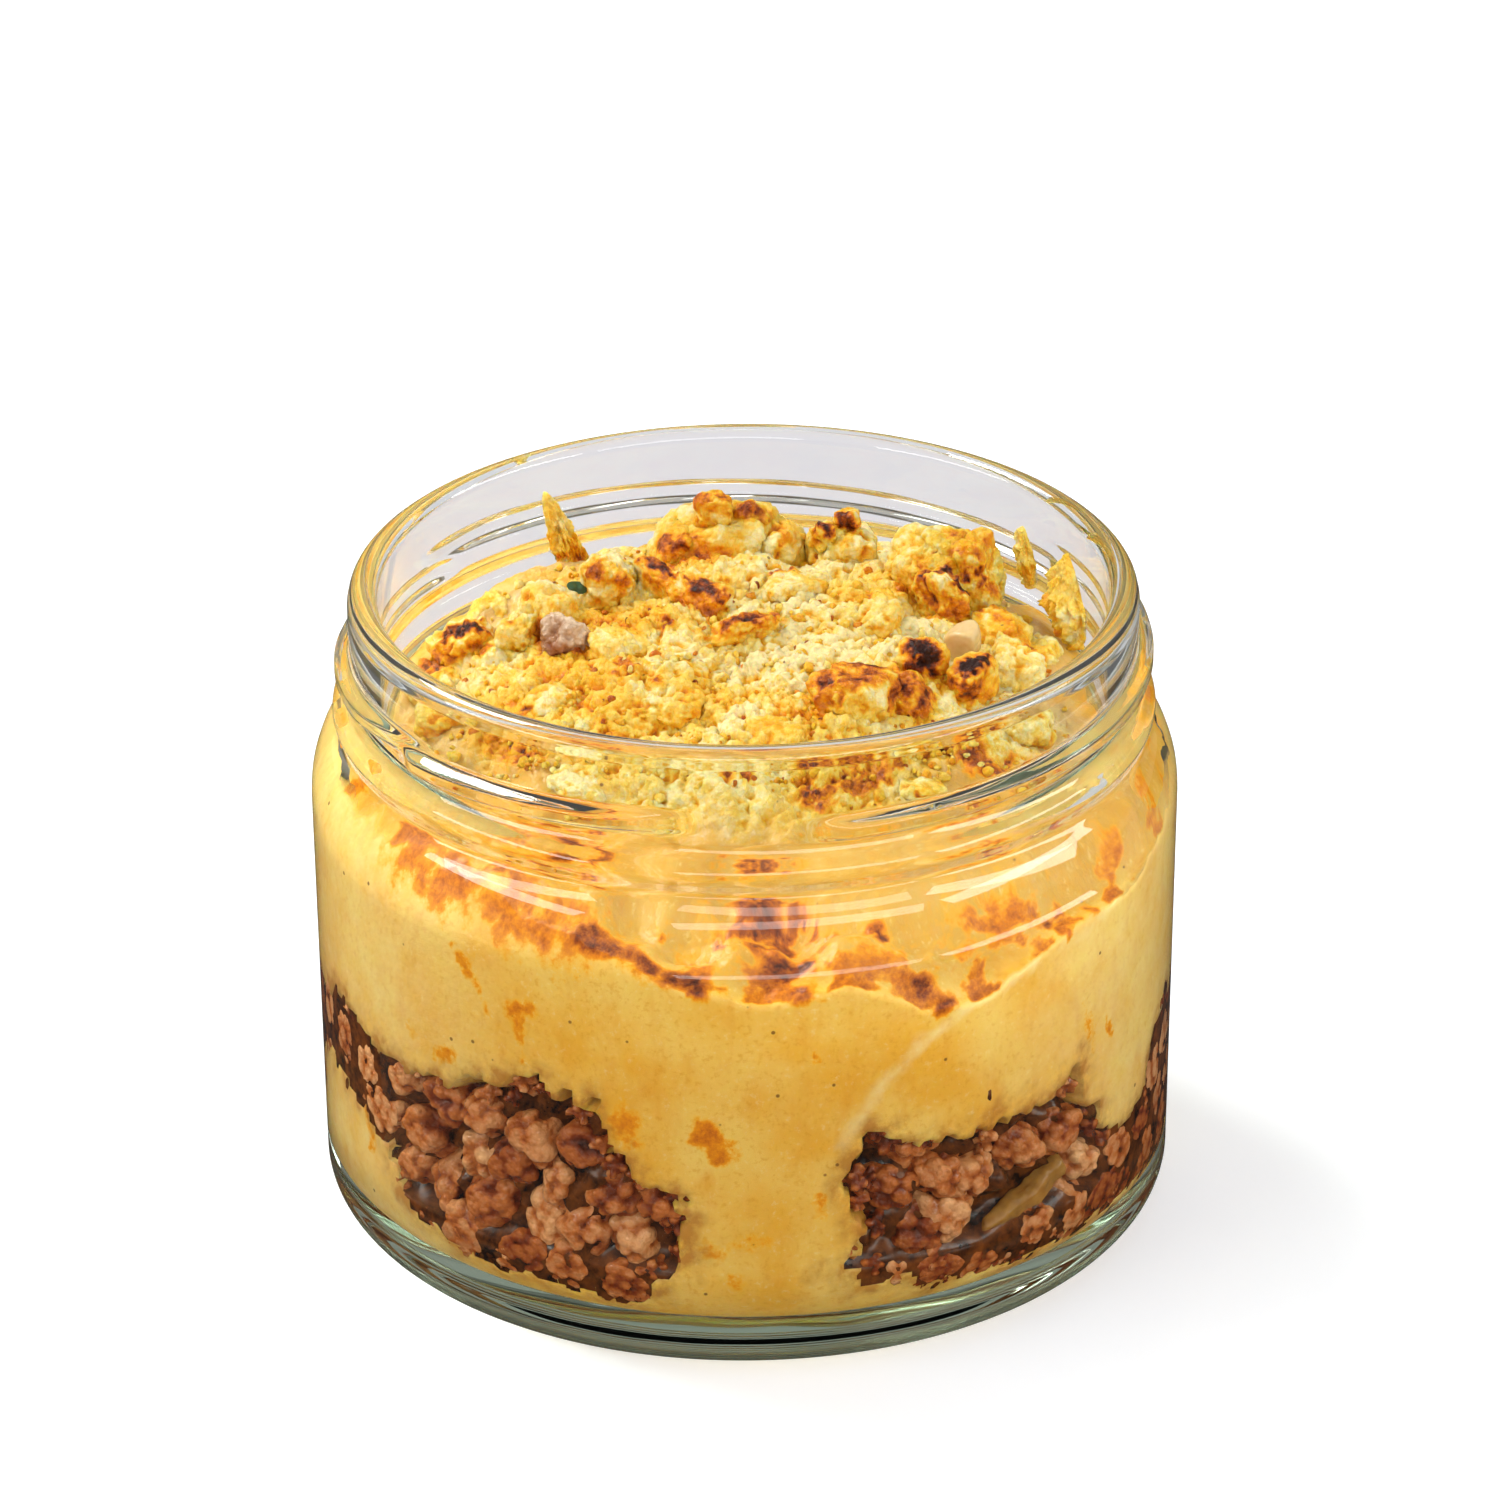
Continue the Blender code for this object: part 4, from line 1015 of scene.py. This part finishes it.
def buildOnionStrip(material):
    # a strip of onion lying against the glass among the mince
    s = onionStrip
    shape, unit = ball(5)
    body = unit * boulder(unit, 78)[:, None] * np.array(s["halfSizes"])
    body += unit * (0.35 * noiseAt(body, 2.4, 25, 3))[:, None]
    z = s["z"] + body[:, 2] + s["rise"] * body[:, 0]
    angle = s["azimuth"] + body[:, 0] * math.degrees(1 / wallRadius)
    r = np.minimum(innerRadius(z) - s["inset"] + body[:, 1], innerRadius(z) + minceSet["intoWall"])
    placeVerts(shape, np.stack([*polar(r, angle), z], axis=1))
    bmesh.ops.recalc_face_normals(shape, faces=shape.faces[:])
    makeObject("onionStrip", shape, (), (material,))


herbSet = {"middle": (-17.8, 12.4, 63.2), "halfSizes": (1.2, 0.7, 0.16), "angles": (0.9, 0.3, 0.2)}


def buildHerb(material):
    # a bit of parsley leaf between two lumps
    s = herbSet
    shape, unit = ball(4)
    co = unit * np.array(s["halfSizes"])
    co[:, 2] += 0.12 * co[:, 0] ** 2 + 0.15 * noiseAt(co, 0.9, 71, 2)
    placeVerts(shape, turned(co, s["angles"]) + np.array(s["middle"]))
    makeObject("herbLeaf", shape, (), (material,))


# soft foods in two tones clouded into each other: the tones, size of the clouds in mm, detail,
# roughness and range of the noise, and the shader's own values
translucent = {"Roughness": 0.2, "IOR": 1.4, "Subsurface Weight": 0.4, "Subsurface Scale": 2 * mm,
               "Subsurface Radius": (1.0, 0.7, 0.35)}
foods = {
    # set gravy between the crumbs: dark, glossy
    "meatGravy": ("1a0702", "7c4014", 2.0, 4.0, 0.65, 0.35, 0.68, {"Roughness": 0.2, "IOR": 1.4}),
    # onion softened in butter: pale, translucent, wet
    "softOnion": ("ead09a", "cfa866", 1.5, 2.0, 0.5, 0.0, 1.0, translucent),
    # onion browned in the gravy: amber, translucent
    "brownedOnion": ("c08a40", "6c3c10", 1.5, 2.0, 0.5, 0.0, 1.0, translucent),
    # chopped parsley: dark green, waxy
    "parsleyLeaf": ("1e3a20", "4c7048", 0.8, 3.0, 0.5, 0.0, 1.0, {"Roughness": 0.35}),
}


def foodMaterial(name):
    first, second, sizeMm, detail, roughness, low, high, values = foods[name]
    made, tree = emptyMaterial(name)
    coords = addNode(tree, "ShaderNodeTexCoord").outputs["Object"]
    clouds = addNode(tree, "ShaderNodeTexNoise", {"Vector": coords, "Scale": perSize(sizeMm),
                                                  "Detail": detail, "Roughness": roughness})
    share = addNode(tree, "ShaderNodeMapRange", {"Value": clouds.outputs["Fac"], "From Min": low,
                                                 "From Max": high})
    colour = addNode(tree, "ShaderNodeMix", {0: share.outputs["Result"], 6: hexColour(first),
                                             7: hexColour(second)}, data_type="RGBA")
    flesh = addNode(tree, "ShaderNodeBsdfPrincipled", {"Base Color": colour.outputs[2], **values})
    addNode(tree, "ShaderNodeOutputMaterial", {"Surface": flesh.outputs["BSDF"]})
    return made


studio = {
    "floorReach": 4.0, "floorColour": "f4f7fc", "floorGlow": 0.26,
    "throughGlass": "e9e6ee", "mirrored": "343434", "skyColour": "f6f6f6",
    # brightness by height: the far edge of the white table, dark walls, a soft ceiling
    "sky": ((0.0, 0.25), (0.07, 0.25), (0.12, 0.05), (0.2, 0.05), (0.5, 0.5), (1.0, 0.5)),
    # place, size, power and colour; all look at the middle of the jar
    "lamps": (
        ("keyLeftBack", (-0.45, 0.35, 0.75), (0.3, 0.3), 6.4, "fffdf8"),
        ("stripFront", (0.25, -0.95, 0.6), (1.3, 0.2), 3.8, "ffffff"),
        ("stripLeft", (-0.9, -0.35, 0.5), (0.9, 0.16), 3.2, "ffffff"),
        ("stripRight", (0.9, -0.15, 0.5), (0.9, 0.16), 3.4, "ffffff"),
    ),
    "lookAt": (0, 0, 0.035),
    "lens": 167.9, "cameraPlace": (0.0006, -0.66595, 0.37897), "cameraDown": 26.3, "cameraRoll": -0.35,
}


def buildFloor():
    # a lit white card; through the glass it is a shade darker, and mirrored once it is dark
    s = studio
    paper, tree = emptyMaterial("whiteSweep")
    matt = addNode(tree, "ShaderNodeBsdfDiffuse", {"Color": hexColour(s["floorColour"])})
    glow = addNode(tree, "ShaderNodeEmission", {"Color": hexColour("ffffff"), "Strength": s["floorGlow"]})
    lit = addNode(tree, "ShaderNodeAddShader", {0: matt.outputs["BSDF"], 1: glow.outputs["Emission"]})
    dim = addNode(tree, "ShaderNodeBsdfDiffuse", {"Color": hexColour(s["mirrored"])})
    shade = addNode(tree, "ShaderNodeEmission", {"Color": hexColour(s["throughGlass"]), "Strength": 1.0})
    path = addNode(tree, "ShaderNodeLightPath")
    behind = addNode(tree, "ShaderNodeMixShader",
                     {0: path.outputs["Is Transmission Ray"], 1: lit.outputs["Shader"],
                      2: shade.outputs["Emission"]})
    once = addNode(tree, "ShaderNodeMath", {0: path.outputs["Glossy Depth"], 1: 1.0, 2: 0.5},
                   operation="COMPARE")
    card = addNode(tree, "ShaderNodeMixShader",
                   {0: once.outputs[0], 1: behind.outputs["Shader"], 2: dim.outputs["BSDF"]})
    addNode(tree, "ShaderNodeOutputMaterial", {"Surface": card.outputs["Shader"]})
    shape = bmesh.new()
    bmesh.ops.create_grid(shape, x_segments=1, y_segments=1, size=s["floorReach"])
    mesh = bpy.data.meshes.new("floor")
    shape.to_mesh(mesh)
    shape.free()
    mesh.materials.append(paper)
    floor = bpy.data.objects.new("floor", mesh)
    bpy.context.collection.objects.link(floor)


def buildSet():
    s = studio
    world = bpy.data.worlds.new("studio")
    bpy.context.scene.world = world
    world.use_nodes = True
    sky = world.node_tree
    view = addNode(sky, "ShaderNodeTexCoord").outputs["Generated"]
    parts = addNode(sky, "ShaderNodeSeparateXYZ", {"Vector": view})
    heights = addNode(sky, "ShaderNodeValToRGB", {"Fac": parts.outputs["Z"]})
    fillRamp(heights.color_ramp, [(height, (grey, grey, grey, 1)) for height, grey in s["sky"]])
    sky.nodes["Background"].inputs["Color"].default_value = hexColour(s["skyColour"])
    sky.links.new(heights.outputs["Color"], sky.nodes["Background"].inputs["Strength"])

    for name, place, size, power, colour in s["lamps"]:
        data = bpy.data.lights.new(name, "AREA")
        data.shape = "RECTANGLE"
        data.size, data.size_y = size
        data.energy = power
        data.color = hexColour(colour)[:3]
        lamp = bpy.data.objects.new(name, data)
        lamp.location = place
        lamp.rotation_euler = (Vector(s["lookAt"]) - Vector(place)).to_track_quat("-Z", "Y").to_euler()
        bpy.context.collection.objects.link(lamp)

    camera = bpy.data.objects.new("camera", bpy.data.cameras.new("camera"))
    camera.data.lens = s["lens"]
    camera.data.sensor_width = 36
    turn = (Matrix.Rotation(math.radians(90 - s["cameraDown"]), 4, "X")
            @ Matrix.Rotation(math.radians(s["cameraRoll"]), 4, "Z"))
    camera.matrix_world = Matrix.Translation(s["cameraPlace"]) @ turn
    bpy.context.collection.objects.link(camera)
    scene = bpy.context.scene
    scene.camera = camera
    scene.view_settings.view_transform = "Standard"
    # light runs far inside the thick base glass
    scene.cycles.max_bounces = 20
    scene.cycles.glossy_bounces = 16
    scene.cycles.transmission_bounces = 10
    scene.cycles.diffuse_bounces = 2


buildFloor()
buildSet()
print("set ready")
buildJar(glassMaterial())
print("jar ready")
mash = mashMaterial()
buildMash(mash)
buildLumps(mash)
buildCrustCrumbs(mash)
print("mash ready")
buildMinceCore(foodMaterial("meatGravy"))
buildMinceCrumbs(minceMaterial("braisedMince"))
print("mince ready")
for smear in smears:
    buildSmear(*smear, mash)
buildTopCrumb(minceMaterial("driedMince"))
buildTopOnion(foodMaterial("softOnion"))
buildOnionStrip(foodMaterial("brownedOnion"))
buildHerb(foodMaterial("parsleyLeaf"))
print("small pieces ready")
